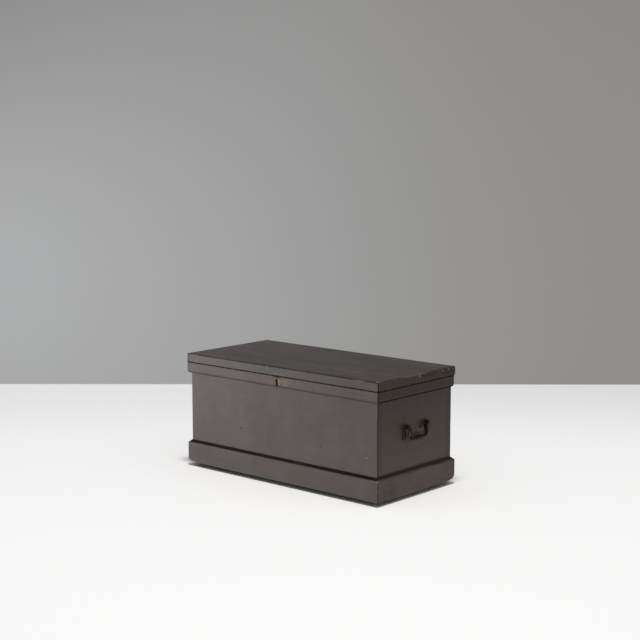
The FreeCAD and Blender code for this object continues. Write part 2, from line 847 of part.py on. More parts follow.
# ---- Assembly -----------------------------------------------------------------------------------
def boards():
    """Every wooden piece by node name."""
    pieces = {"front_board": front_board(), "back_board": back_board(),
              "left_end_board": end_board(-1), "right_end_board": end_board(1),
              "front_bearer": bearer(-1), "back_bearer": bearer(1),
              "left_lid_batten": lid_batten(-1), "right_lid_batten": lid_batten(1)}
    for i in range(floor_board_count):
        pieces["floor_board_%d" % (i + 1)] = floor_board(i)
    for side, shape in plinth().items():
        pieces["plinth_" + side] = shape
    for side, shape in rim_moulding().items():
        pieces["rim_moulding_" + side] = shape
    for side, shape in lid_edging().items():
        pieces["lid_edge_" + side] = shape
    pieces["lid_front_plank"], pieces["lid_back_plank"] = lid_planks()
    link_room = block(-link_plate_length / 2, link_plate_length / 2, link_y() - link_plate_width / 2,
                      link_y() + link_plate_width / 2, lid_underside, lid_underside + lock_plate)
    pieces["lid_front_plank"] = pieces["lid_front_plank"].cut(link_room)
    return pieces


def ironwork():
    """Hinges, lock and handles by node name."""
    pieces = {"lock_backplate": lock_backplate(), "lock_cap": lock_cap(), "lock_bolt": lock_bolt(),
              "lock_bolt_spring": bolt_spring(), "lock_key_post": key_post(), "lid_link_plate": link_plate(),
              "keyhole_escutcheon": keyhole_escutcheon()}
    for name, side in (("left", -1), ("right", 1)):
        centre = side * hinge_centre_x
        pieces[name + "_hinge_body_leaf"] = hinge_leaf(centre, False)
        pieces[name + "_hinge_lid_leaf"] = hinge_leaf(centre, True)
        pieces[name + "_hinge_pin"] = hinge_pin(centre)
    right_pieces = {"handle_front_bracket": handle_bracket(-1), "handle_back_bracket": handle_bracket(1),
                    "bail_handle": bail()}
    for name, shape in right_pieces.items():
        pieces["right_" + name] = shape
        pieces["left_" + name] = mirrored_ends(shape)
    return pieces


def fasteners():
    """Groups of equal nails and screws by node name, each a list of solids."""
    right = handle_screws()
    body_screws = hinge_screws(-hinge_centre_x, False) + hinge_screws(hinge_centre_x, False)
    lid_screws = hinge_screws(-hinge_centre_x, True) + hinge_screws(hinge_centre_x, True)
    return {"plinth_nails": plinth_nails(), "rim_moulding_nails": rim_nails(),
            "lid_edge_nails": lid_edge_nails(), "floor_nails": floor_nails(),
            "bearer_nails": bearer_nails(), "batten_nails": batten_nails(),
            "hinge_body_screws": body_screws, "hinge_lid_screws": lid_screws,
            "lock_screws": lock_screws(), "link_plate_screws": link_plate_screws(),
            "right_handle_screws": right, "left_handle_screws": [mirrored_ends(screw) for screw in right]}


def drilled(piece, groups):
    """Piece with a hole for every fastener that passes through it."""
    box = piece.BoundBox
    for group in groups.values():
        for fastener in group:
            if box.intersect(fastener.BoundBox):
                piece = piece.cut(fastener)
    return piece


def build():
    """Write every node to parts/."""
    os.makedirs("parts", exist_ok=True)
    groups = fasteners()
    for name, piece in {**boards(), **ironwork()}.items():
        drilled(piece, groups).exportStep("parts/%s.step" % name)
    for name, group in groups.items():
        Part.makeCompound(group).exportStep("parts/%s.step" % name)


build()
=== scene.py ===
"""Worn painted blanket chest: weathered boards, ironwork, materials, studio and camera round the CAD."""
import math
import random
from functools import reduce

import bmesh
import bpy
import numpy as np
from mathutils import Matrix, Vector, noise


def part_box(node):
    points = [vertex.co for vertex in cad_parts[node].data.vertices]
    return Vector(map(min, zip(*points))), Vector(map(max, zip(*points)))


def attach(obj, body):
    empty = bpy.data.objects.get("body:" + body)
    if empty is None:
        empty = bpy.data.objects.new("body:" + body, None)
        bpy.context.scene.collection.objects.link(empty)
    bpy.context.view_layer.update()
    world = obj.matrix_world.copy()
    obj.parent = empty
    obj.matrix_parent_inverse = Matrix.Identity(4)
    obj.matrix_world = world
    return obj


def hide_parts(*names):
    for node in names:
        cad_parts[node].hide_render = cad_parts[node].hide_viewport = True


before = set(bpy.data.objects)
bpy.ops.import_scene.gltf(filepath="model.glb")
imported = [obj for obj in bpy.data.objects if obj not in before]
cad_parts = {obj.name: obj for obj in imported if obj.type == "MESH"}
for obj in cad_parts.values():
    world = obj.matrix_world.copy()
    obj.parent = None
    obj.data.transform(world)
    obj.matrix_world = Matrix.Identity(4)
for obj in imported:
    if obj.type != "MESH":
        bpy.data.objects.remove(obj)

MM = 0.001
X, Y, Z = 0, 1, 2
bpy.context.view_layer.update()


def far_side(node, axis):
    """Far side of a CAD node along an axis, to a tenth of a millimetre."""
    return round(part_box(node)[1][axis], 4)


# Outer faces of the plinth and top of the lid; outer faces and top of the carcase
OUT = Vector((far_side("plinth_right", X), far_side("plinth_back", Y), far_side("lid_edge_right", Z)))
CARCASE = Vector((far_side("right_end_board", X), far_side("back_board", Y), far_side("front_board", Z)))
LID_BACK = far_side("lid_back_plank", Y)
BOARD = CARCASE.y + far_side("front_board", Y)  # thickness of the carcase boards
MITRE = OUT.x - OUT.y  # |x| - |y| on every mitre plane
MITRED = ("plinth", "rim_moulding", "lid_edge")


# ---- Node trees ----
def srgb(red, green, blue):
    """Linear colour from display values 0 to 255."""
    def linear(c):
        c /= 255
        return c / 12.92 if c <= 0.04045 else ((c + 0.055) / 1.055) ** 2.4
    return (linear(red), linear(green), linear(blue), 1)


class Shade:
    """Node tree of a material or the world, built call by call. Values are numbers, colours or sockets."""

    def __init__(self, name, family=bpy.data.materials, surface="Principled BSDF"):
        self.owner = family.new(name)
        self.owner.use_nodes = True
        self.nodes = self.owner.node_tree.nodes
        self.surface = self.nodes[surface]
        self.place = self.node("TexCoord", "Object", {})
        self.parts = None

    def plug(self, socket, value):
        if isinstance(value, bpy.types.NodeSocket):
            self.owner.node_tree.links.new(value, socket)
        else:
            socket.default_value = value

    def set(self, **values):
        """Sets inputs of the surface shader, by name with _ for spaces."""
        for name, value in values.items():
            self.plug(self.surface.inputs[name.replace("_", " ")], value)

    def node(self, kind, output, inputs, **settings):
        """One output of a new node, given its inputs by name or number."""
        node = self.nodes.new("ShaderNode" + kind)
        for name, value in settings.items():
            setattr(node, name, value)
        for key, value in inputs.items():
            self.plug(node.inputs[key], value)
        return node.outputs[output]

    def math(self, operation, a, b=0.0):
        return self.node("Math", 0, {0: a, 1: b}, operation=operation)

    def total(self, *terms):
        """Sum of sockets and numbers."""
        return reduce(lambda a, b: self.math("ADD", a, b), terms)

    def times(self, *factors):
        """Product of sockets and numbers."""
        return reduce(lambda a, b: self.math("MULTIPLY", a, b), factors)

    def most(self, *values):
        """Largest of sockets and numbers."""
        return reduce(lambda a, b: self.math("MAXIMUM", a, b), values)

    def weigh(self, value, weight):
        """Noise from 0 to 1 as a swing either way: (value - 0.5) * weight."""
        return self.times(self.math("SUBTRACT", value, 0.5), weight)

    def span(self, value, low, high, start=0.0, end=1.0, smooth=True):
        """Value between low and high mapped to start and end, clamped."""
        return self.node("MapRange", 0, {0: value, 1: low, 2: high, 3: start, 4: end},
                         interpolation_type="SMOOTHSTEP" if smooth else "LINEAR")

    def between(self, value, start, full, fade, end):
        """Mask that comes in from start to full and goes out from fade to end."""
        return self.times(self.span(value, start, full), self.span(value, end, fade))

    def mix(self, share, a, b):
        return self.node("Mix", 2, {0: share, 6: a, 7: b}, data_type="RGBA")

    def over(self, below, colour, *masks):
        """One colour with another laid over it, as strongly as the product of the masks."""
        return self.mix(self.times(*masks), below, colour)

    def ramp(self, value, *stops):
        """Colour ramp from (place, colour) stops."""
        node = self.node("ValToRGB", 0, {0: value}).node
        elements = node.color_ramp.elements
        while len(elements) < len(stops):
            elements.new(0.5)
        for element, (place, colour) in zip(elements, stops):
            element.position, element.color = place, colour
        return node.outputs[0]

    def vector(self, operation, a, b, c=(0, 0, 0)):
        output = "Value" if operation in ("LENGTH", "DOT_PRODUCT") else "Vector"
        return self.node("VectorMath", output, {0: a, 1: b, 2: c}, operation=operation)

    def stretched(self, grain, across):
        """Object coordinates squeezed across the grain, so that patterns draw out along it."""
        return self.vector("MULTIPLY", self.place, tuple(1 if axis == grain else across for axis in range(3)))

    def noise(self, scale, detail=2.0, rough=0.5, at=None, distortion=0.0):
        return self.node("TexNoise", "Fac", {"Vector": self.place if at is None else at, "Scale": scale,
                                             "Detail": detail, "Roughness": rough, "Distortion": distortion})

    def cells(self, scale, feature, at):
        return self.node("TexVoronoi", "Distance", {"Vector": at, "Scale": scale}, feature=feature)

    def value_of(self, attribute):
        return self.node("Attribute", "Fac", {}, attribute_name=attribute)

    def axis(self, index):
        if self.parts is None:
            self.parts = self.node("SeparateXYZ", 0, {0: self.place}).node.outputs
        return self.parts[index]

    def off_centre(self, index):
        """Distance from the chest's middle plane."""
        return self.math("ABSOLUTE", self.axis(index))

    def spot(self, centre, radii):
        """Ragged-edged mask round a place: centre and radii in millimetres."""
        scaled = self.vector("MULTIPLY_ADD", self.place, tuple(1000 / r for r in radii),
                             tuple(-c / r for c, r in zip(centre, radii)))
        away = self.vector("LENGTH", scaled, (0, 0, 0))
        return self.span(self.total(away, self.weigh(self.noise(170, 3), 1.6)), 1.0, 0.45)

    def bump(self, height, depth, strength=0.8):
        self.set(Normal=self.node("Bump", 0, {"Height": height, "Distance": depth, "Strength": strength}))


# ---- Materials ----
PAINT_DARK = srgb(82, 76, 72)
PAINT = srgb(101, 94, 90)
PAINT_LIGHT = srgb(115, 109, 105)
PAINT_SHEEN = 0.24  # specular level of the old paint
PRIMER = srgb(96, 66, 52)
RUBBED = srgb(138, 114, 105)
WOOD = srgb(164, 130, 106)
FRESH_WOOD = srgb(194, 180, 164)
# Near black: grime, and painted shade in crevices, gaps and holes
GRIME_AND_SHADE = srgb(18, 11, 9)
STAIN_AND_SHADE = srgb(42, 30, 24)

# Marks of use and patches of painted shade, from the lowest layer up: share and colour
MARK_KINDS = {
    "film": (0.35, srgb(64, 50, 48)),
    "haze": (0.2, srgb(138, 132, 120)),
    "light": (0.42, srgb(140, 136, 127)),
    "blush": (0.4, srgb(126, 96, 86)),
    "rubbed": (0.7, RUBBED),
    "brown": (0.9, PRIMER),
    "umber": (0.8, srgb(70, 50, 43)),
    "stain": (0.85, STAIN_AND_SHADE),
    "wood": (0.95, WOOD),
    "pale": (0.85, FRESH_WOOD),
    "dark": (0.96, GRIME_AND_SHADE),
}

# Heights of painted shade, darkening and wear: where it starts, is full, fades and ends
# Painted shade in the crack between lid and rim
LID_CRACK = (0.4066, 0.4076, 0.4112, 0.4124)
EDGING_FOOT = (0.4096, 0.4106, 0.4130, 0.4150)
EDGING_TOP = (0.4386, 0.4402)  # it goes on to the lid's top
BEVEL_SHADOW = 0.1012  # painted shade on the plinth's bevel is full up to here
TOP_SHADE = (0.12, 0.36)  # painted shade: the paint dims towards the top between these heights
RIM_SHADE = (0.5, 0.3690, 0.0032)  # painted shade at the rim's lower edge: strength, height and half height
# Stronger painted shade below the rim on the ends
END_RIM_SHADE = (1.0, 0.3695, 0.0056)
LEDGE_SHADE = (GRIME_AND_SHADE, 0.0925, 0.1052)  # painted shade on the plinth's bevel: colour, foot and top


def dim(colour, share, tint=(1, 1, 1)):
    """Colour at a share of its brightness, tinted."""
    return tuple(c * share * t for c, t in zip(colour, tint)) + (1,)


def wood_grain(s, grain, spacing=0.0042):
    """Growth rings cut through by the board: (ring profile 0 to 1, fibre noise)."""
    board = s.value_of("board")
    drift = s.noise(2.6, 2, at=s.stretched(grain, 5.0))
    across = [axis for axis in range(3) if axis != grain]
    a = s.total(s.times(board, 0.37), 0.05, s.axis(across[0]))
    b = s.total(s.axis(across[1]), s.times(board, 0.16), 0.04)
    reach = s.math("SQRT", s.total(s.times(a, a), s.times(b, b)))
    reach = s.total(reach, s.weigh(drift, 0.055), s.weigh(s.noise(30, 2, at=s.stretched(grain, 9)), 0.004))
    turn = s.math("FRACT", s.math("DIVIDE", reach, spacing))
    return s.between(turn, 0.35, 0.9, 0.93, 1.0), s.noise(26, 3, 0.6, at=s.stretched(grain, 32))


def bare_pine(name, grain, shade=1.0, sheen=0.5):
    """Old unpainted pine: amber, darker late wood, knots, dust and handling marks."""
    s = Shade(name)
    late, fibre = wood_grain(s, grain)
    tone = s.total(0.45, s.weigh(s.noise(4.2, 3), 0.9), s.weigh(fibre, 0.55))
    wood = s.ramp(tone, (0.0, srgb(128, 92, 62)), (0.5, srgb(164, 124, 86)), (1.0, srgb(186, 148, 108)))
    wood = s.over(wood, srgb(104, 66, 40), late, 0.62)
    knots = s.cells(5.0, "F1", s.stretched(grain, 2.2))
    core = s.span(knots, 0.12, 0.07)
    wood = s.over(wood, srgb(112, 70, 42), s.span(knots, 0.22, 0.1), 0.45)
    wood = s.over(wood, srgb(58, 34, 22), core, 0.8)
    wood = s.over(wood, srgb(78, 56, 42), s.span(s.noise(9, 4, 0.65), 0.56, 0.78), 0.45)
    wood = s.over(wood, srgb(74, 50, 34), s.span(s.value_of("arris"), 0.006, 0.0), 0.35)
    # Dimmed wood: grime and painted shade on the undersides, painted shade in the keyhole
    if shade < 1:
        wood = s.over(wood, GRIME_AND_SHADE, 1 - shade)
    s.set(Base_Color=wood, Specular_IOR_Level=sheen,
          Roughness=s.total(0.62, s.weigh(fibre, 0.2), s.times(late, -0.1)))
    s.bump(s.total(s.times(late, 0.5), s.times(fibre, 0.8), s.times(core, -0.6)), 0.0004)
    return s.owner


def chipped(s, paint, cloud, fibre, wear):
    """Paint worn off at the arrises, to the primer and then to the wood: (colour, where it's off)."""
    near = s.times(s.value_of("arris"), 1000)
    reach = s.span(s.total(s.times(s.noise(46, 3, 0.62), 0.75), s.times(cloud, 0.25)),
                   0.40, 0.72, -1.2, 5.5 * wear, smooth=False)
    chips = s.span(s.noise(150, 2, 0.55), 0.56, 0.8, 0.0, 3.0 * wear, smooth=False)
    bare = s.math("SUBTRACT", s.total(reach, chips), near)
    brown = s.span(bare, 0.0, 0.7)
    paint = s.over(paint, dim(PRIMER, 0.8), brown)
    paint = s.over(paint, s.mix(fibre, srgb(122, 88, 66), WOOD), s.span(bare, 1.9, 3.0))
    return s.over(paint, FRESH_WOOD, s.span(bare, 4.2, 6.0)), brown


def upright_cracks(s, paint, centre, radii):
    """Patch of fine cracks in the paint."""
    lines = s.noise(26, 1, 0.5, at=s.stretched(Z, 14), distortion=0.4)
    contour = s.math("ABSOLUTE", s.math("SUBTRACT", lines, 0.5))
    return s.over(paint, GRIME_AND_SHADE, s.span(contour, 0.06, 0.01), s.spot(centre, radii), 0.55)


def seam_shadow(s, paint, patch, strength):
    """Dark line on an end board where the long board's end shows, and stains towards the corner."""
    y = s.off_centre(Y)
    corner = s.math("SUBTRACT", CARCASE.y, y)
    paint = s.over(paint, STAIN_AND_SHADE, s.span(corner, 0.0080, 0.0050), s.span(patch, 0.3, 0.6, 0.5, 0.95))
    joint = CARCASE.y - BOARD
    line = s.between(y, joint - 0.0010, joint - 0.0002, joint + 0.0003, joint + 0.0012)
    shadow = s.total(s.times(line, s.span(patch, 0.35, 0.6, 0.3, 1.0)),
                     s.span(y, joint - 0.0005, joint + 0.0005, 0.0, 0.35))
    return s.over(paint, GRIME_AND_SHADE, shadow, strength)


def crevice_shade(s, paint, z, patch, under, ledge):
    """Painted shade on the plinth's bevel, in the crack under the lid and below the rim: (colour, where it
    lies).
    """
    colour, foot, top = ledge
    on_bevel = s.between(z, foot, foot + 0.002, BEVEL_SHADOW, top)
    outer = s.most(*(s.span(s.off_centre(axis), OUT[axis] - 0.0055, OUT[axis] - 0.0038) for axis in (X, Y)))
    in_crack = s.times(s.between(z, *LID_CRACK), outer, s.span(s.noise(90, 2), 0.3, 0.5, 0.75, 1.0))
    strength, height, half = under
    below_rim = s.between(z, height - half, height - half + 0.0018, height + half - 0.0018, height + half)
    paint = s.over(paint, colour, on_bevel, s.span(patch, 0.25, 0.5, 0.86, 0.97))
    paint = s.over(paint, GRIME_AND_SHADE, s.most(in_crack, s.times(below_rim, strength)), 0.97)
    return paint, s.most(on_bevel, in_crack, below_rim)


def edging_wear(s, paint, z, low, high):
    """Darkened top and rubbed foot of the lid's edging, in a dark and a light colour."""
    foot = s.times(s.between(z, *EDGING_FOOT), s.span(s.noise(75, 3, 0.6), 0.56, 0.66))
    paint = s.over(paint, high, foot, 0.6)
    top = s.times(s.span(z, *EDGING_TOP), s.span(s.noise(38, 3, 0.6), 0.28, 0.46, 0.6, 1.0))
    speck = s.span(s.noise(170, 2), 0.56, 0.66)
    return s.over(paint, s.mix(speck, low, high), top, 0.94)


def marks_of_use(s, paint, spots):
    """Paint with its marks, layer by layer."""
    for kind, (share, colour) in MARK_KINDS.items():
        masks = [s.spot(centre, radii) for name, centre, radii in spots if name == kind]
        if masks:
            paint = s.over(paint, colour, s.most(*masks), share)
    return paint


def painted_pine(name, grain, spots, wear, shade, tint, streaks=0.42, bands=0.0, fade=0.0, seam=0.0,
                 cracked=None, edging=None, under=RIM_SHADE, ledge=LEDGE_SHADE):
    """Old satin paint over pine: brushed, cloudy, chipped to primer and wood along its arrises.

    spots: marks of use, each (kind of mark, centre, radii), in millimetres
    wear, shade, tint: how far the arrises are chipped, brightness and tint of the paint; the brightness also
    holds painted shade
    streaks, bands: strength of the fine and of the broad streaks along the grain
    fade, seam: strength of the painted shade towards the carcase's top and of the line where the long boards
    end
    cracked: centre and radii of a patch of fine cracks, in millimetres
    edging: dark and light colour of the lid's edging at its darkened top and worn foot
    under, ledge: painted shade below the rim and on the plinth's bevel, in the form of the constants above
    """
    s = Shade(name)
    late, fibre = wood_grain(s, grain)
    cloud = s.noise(3.4, 3, 0.55)
    patch = s.noise(14, 3, 0.6)
    brush = s.noise(9, 3, 0.55, at=s.stretched(grain, 16))
    grit = s.noise(520, 2, 0.6)

    def hue(colour):
        return dim(colour, shade, tint)

    tone = s.total(0.5, s.weigh(cloud, 0.85), s.weigh(patch, 0.3), s.weigh(brush, streaks),
                   s.weigh(grit, 0.25), s.times(late, -0.05))
    paint = s.ramp(tone, (0.05, hue(PAINT_DARK)), (0.5, hue(PAINT)), (0.95, hue(PAINT_LIGHT)))
    warm = s.span(s.noise(5.5, 2, at=s.stretched(grain, 3)), 0.42, 0.72)
    paint = s.over(paint, hue(srgb(104, 88, 82)), warm, 0.4)
    if bands:
        stripe = s.noise(2.2, 5, 0.68, at=s.stretched(grain, 7))
        paint = s.over(paint, hue(srgb(120, 114, 106)), s.span(stripe, 0.5, 0.66), bands)
        paint = s.over(paint, hue(srgb(84, 74, 76)), s.span(stripe, 0.5, 0.36), bands)
    # Fine scratches, pale with dust
    lines = s.cells(34, "DISTANCE_TO_EDGE", s.vector("MULTIPLY", s.place, (1.0, 1.0, 0.35)))
    scratch = s.times(s.span(lines, 0.006, 0.001), s.span(s.noise(11, 2), 0.6, 0.72))
    paint = s.over(paint, srgb(150, 144, 136), scratch, 0.35)
    # Painted shade: the paint dims towards the carcase's top
    if fade:
        paint = s.over(paint, GRIME_AND_SHADE, s.span(s.axis(Z), *TOP_SHADE, smooth=False), fade)
    paint, brown = chipped(s, paint, cloud, fibre, wear)
    if cracked:
        paint = upright_cracks(s, paint, *cracked)
    if seam:
        paint = seam_shadow(s, paint, patch, seam)
    z = s.total(s.axis(Z), s.weigh(s.noise(60, 2), 0.0018))
    paint, crevice_shade_mask = crevice_shade(s, paint, z, patch, under, ledge)
    if edging:
        paint = edging_wear(s, paint, z, *edging)
    s.set(Base_Color=marks_of_use(s, paint, spots), Specular_IOR_Level=PAINT_SHEEN)
    s.set(Roughness=s.total(0.44, s.weigh(patch, 0.16), s.weigh(brush, 0.1), s.times(brown, 0.22),
                            s.times(crevice_shade_mask, 0.5)))
    s.bump(s.total(s.times(brush, 0.5), s.times(fibre, 0.35), s.times(late, 0.16), s.times(grit, 0.12),
                   s.times(brown, -0.5), s.times(scratch, -0.4)), 0.00045)
    return s.owner


def aged_iron(name, dark, brown, rust, gloss, paint=0.0, marks=()):
    """Forged or rolled iron: dark skin, brown patina, rust bloom, rubbed arrises, remains of paint.

    Marks are (colour, centre, radii), in millimetres; colours are display values.
    """
    s = Shade(name)
    skin = s.noise(70, 4, 0.6)
    bloom = s.noise(240, 3, 0.65)
    colour = s.over(srgb(*dark), srgb(*brown), s.span(skin, 0.35, 0.7))
    rusty = s.times(s.span(bloom, 0.5, 0.72), s.span(skin, 0.4, 0.62))
    colour = s.over(colour, srgb(112, 62, 34), rusty, rust)
    rubbed = s.span(s.total(s.times(s.value_of("arris"), 1000), s.weigh(bloom, 3.0)), 0.9, 0.1)
    colour = s.over(colour, srgb(146, 138, 130), rubbed, 0.45)
    for mark, centre, radii in marks:
        colour = s.over(colour, srgb(*mark), s.spot(centre, radii), 0.85)
    metallic = s.span(rusty, 0.0, 1.0, 0.45, 0.1)
    if paint:
        cover = s.times(s.span(s.noise(95, 3), 0.62, 0.42), paint)
        colour = s.over(colour, PAINT, cover)
        metallic = s.times(metallic, s.math("SUBTRACT", 1.0, cover))
    s.set(Base_Color=colour, Metallic=metallic, Specular_IOR_Level=0.3)
    s.set(Roughness=s.total(gloss, s.weigh(skin, 0.25), s.times(rusty, 0.3), s.times(rubbed, -0.12)))
    s.bump(s.total(skin, s.times(bloom, 0.5)), 0.0003)
    return s.owner


def old_brass(name):
    """Dull brass, tarnished dark, with a painted highlight on the right of its face and painted shade inside.
    """
    s = Shade(name)
    # Painted shade: black on the lining's inner walls
    inside = s.span(s.axis(Y), -0.2279, -0.2276)
    # Painted highlight: the face turns pale towards its right
    side = s.span(s.axis(X), 0.0035, 0.0050, 0.85, 0.0)
    tarnish_and_shade = s.most(s.total(side, s.weigh(s.noise(300, 3, 0.6), 0.5)), inside)
    s.set(Base_Color=s.over(srgb(206, 188, 158), srgb(14, 10, 8), tarnish_and_shade, 0.97), Specular_IOR_Level=0.06)
    s.set(Metallic=s.span(tarnish_and_shade, 0, 1, 0.5, 0.0), Roughness=s.span(tarnish_and_shade, 0, 1, 0.4, 0.9))
    s.bump(s.noise(420, 2), 0.0001, 0.6)
    return s.owner


# Marks of wear, and patches of painted shade and highlight, seen on the chest: kind, centre and radii in
# millimetres
LID_MARKS = [
    # Broad patches where the lid's top is painted dimmer
    ("film", (315, -206, 443), (165, 24, 4)),
    ("film", (-60, -60, 443), (190, 34, 4)),
    ("stain", (30, -196, 443), (16, 5, 4)),
]
EDGING_MARKS = [
    ("rubbed", (474, -14, 442), (9, 96, 5)),
    ("stain", (475, 68, 432), (5, 64, 9)),
    ("stain", (475, 170, 430), (5, 56, 10)),
    ("umber", (475, 152, 441.5), (9, 74, 2.8)),
    ("umber", (475, 34, 433), (5, 36, 5)),
    ("umber", (475, -40, 430), (5, 30, 4)),
    ("wood", (473, 16, 443), (5, 14, 2.6)),
    ("wood", (473, -72, 443), (4, 22, 2.0)),
    ("pale", (475, 9, 435), (5, 4.4, 4.4)),
    ("pale", (475, 147, 435), (5, 4.0, 3.8)),
    ("pale", (475, 181, 437), (5, 4.4, 4.2)),
    ("pale", (468, -220, 443.4), (9, 9, 2.6)),
    ("dark", (475, -228, 424), (3.4, 4.2, 40)),
    ("stain", (475, -228, 424), (4.4, 5.2, 44)),
    ("rubbed", (390, -228, 440.5), (34, 5, 3)),
    ("blush", (-432, -228, 439), (26, 5, 6)),
    # Painted shade, widening the crack above the keyhole
    ("dark", (0, -228, 410.5), (28, 6, 3.4)),
    # Painted highlight on the edging's foot above the keyhole
    ("light", (-4, -228, 417), (26, 4, 3.4)),
    ("rubbed", (26, -228, 415), (12, 4, 4.5)),
    ("light", (-50.4, -228, 435.4), (7, 4, 6)),
    ("light", (-423, -228, 420), (8, 4, 7)),
]
RIM_MARKS = [
    ("rubbed", (34, -228, 393), (27, 4, 12)),
    ("blush", (54, -228, 390), (36, 4, 13)),
    ("blush", (-440, -228, 378), (28, 4, 12)),
    ("wood", (36, -228, 379), (17, 4, 1.8)),
    ("pale", (9.4, -228, 387), (1.7, 4, 15)),
    ("light", (-24, -228, 379), (14, 4, 2.4)),
    ("umber", (-9, -228, 387), (4, 4, 12)),
    ("blush", (-40, -228, 386), (34, 4, 12)),
    ("stain", (-9, -224, 371), (10, 8, 5)),
    # Painted shade, widening the crack above the keyhole
    ("dark", (0, -227, 406), (25, 6, 4)),
    ("stain", (475, -228, 388), (4.4, 5.2, 50)),
]
PLINTH_MARKS = [
    ("rubbed", (474, -227, 93), (9, 16, 6)),
    ("rubbed", (450, -228, 91.5), (30, 4, 2.6)),
    ("pale", (475, -228, 91), (6, 5, 3.4)),
    ("stain", (475, -228, 50), (3, 3, 48)),
    ("brown", (475, -228, 76), (3, 3, 7)),
    ("wood", (475, -228, 57), (2.8, 2.8, 5)),
    ("brown", (475, -228, 37), (3, 3, 8)),
    ("umber", (470, 150, 98), (12, 78, 9)),
    ("blush", (475, 120, 74), (4, 40, 24)),
    ("blush", (-75, -228, 52), (48, 4, 14)),
    ("pale", (-452, -228, 17), (22, 14, 5)),
    ("wood", (475, -40, 17), (6, 110, 2.6)),
    ("brown", (475, 190, 21), (10, 26, 8)),
]
FRONT_MARKS = [
    ("dark", (-200.5, -215, 184), (4.2, 4, 4.2)),
    ("dark", (198.3, -215, 175.6), (4.0, 4, 4.0)),
    ("dark", (-240, -215, 106.5), (6, 5, 5)),
    ("pale", (414, -215, 166), (11, 3, 1.5)),
    ("blush", (450, -215, 135), (11, 3, 38)),
    ("stain", (462, -215, 240), (3.4, 3.4, 165)),
]
END_MARKS = [
    ("stain", (462, -215, 240), (3.4, 3.8, 165)),
    ("dark", (462, 83, 131.5), (4, 3.4, 3.4)),
    ("rubbed", (462, 33, 236), (3, 28, 12)),
    ("blush", (462, 33, 236), (3, 32, 14)),
    ("blush", (462, 13, 193), (3, 56, 14)),
    # Painted shadow of the bail's back ear and arm, cast on the end
    ("stain", (462, 35, 250), (3, 18, 13)),
    ("stain", (462, 46, 257), (3, 8, 9)),
    ("stain", (462, 7, 232), (3, 9, 4)),
    ("haze", (462, 24, 280), (3, 16, 8)),
    ("umber", (462, -64, 286), (3, 13, 24)),
    ("umber", (462, -199, 190), (3, 1.8, 130)),
    ("haze", (462, 86, 212), (3, 9, 14)),
    ("haze", (462, 66, 199), (3, 15, 6)),
    # Painted shadow of the bail's front arm, cast on the end
    ("dark", (462, -67, 237), (3, 9, 28)),
    ("stain", (462, 211, 310), (4, 4, 62)),
    ("rubbed", (462, 213, 222), (4, 3.4, 26)),
    ("stain", (462, 211, 150), (4, 4, 44)),
]
CRACKS = ((475, -158, 54), (12, 52, 42))

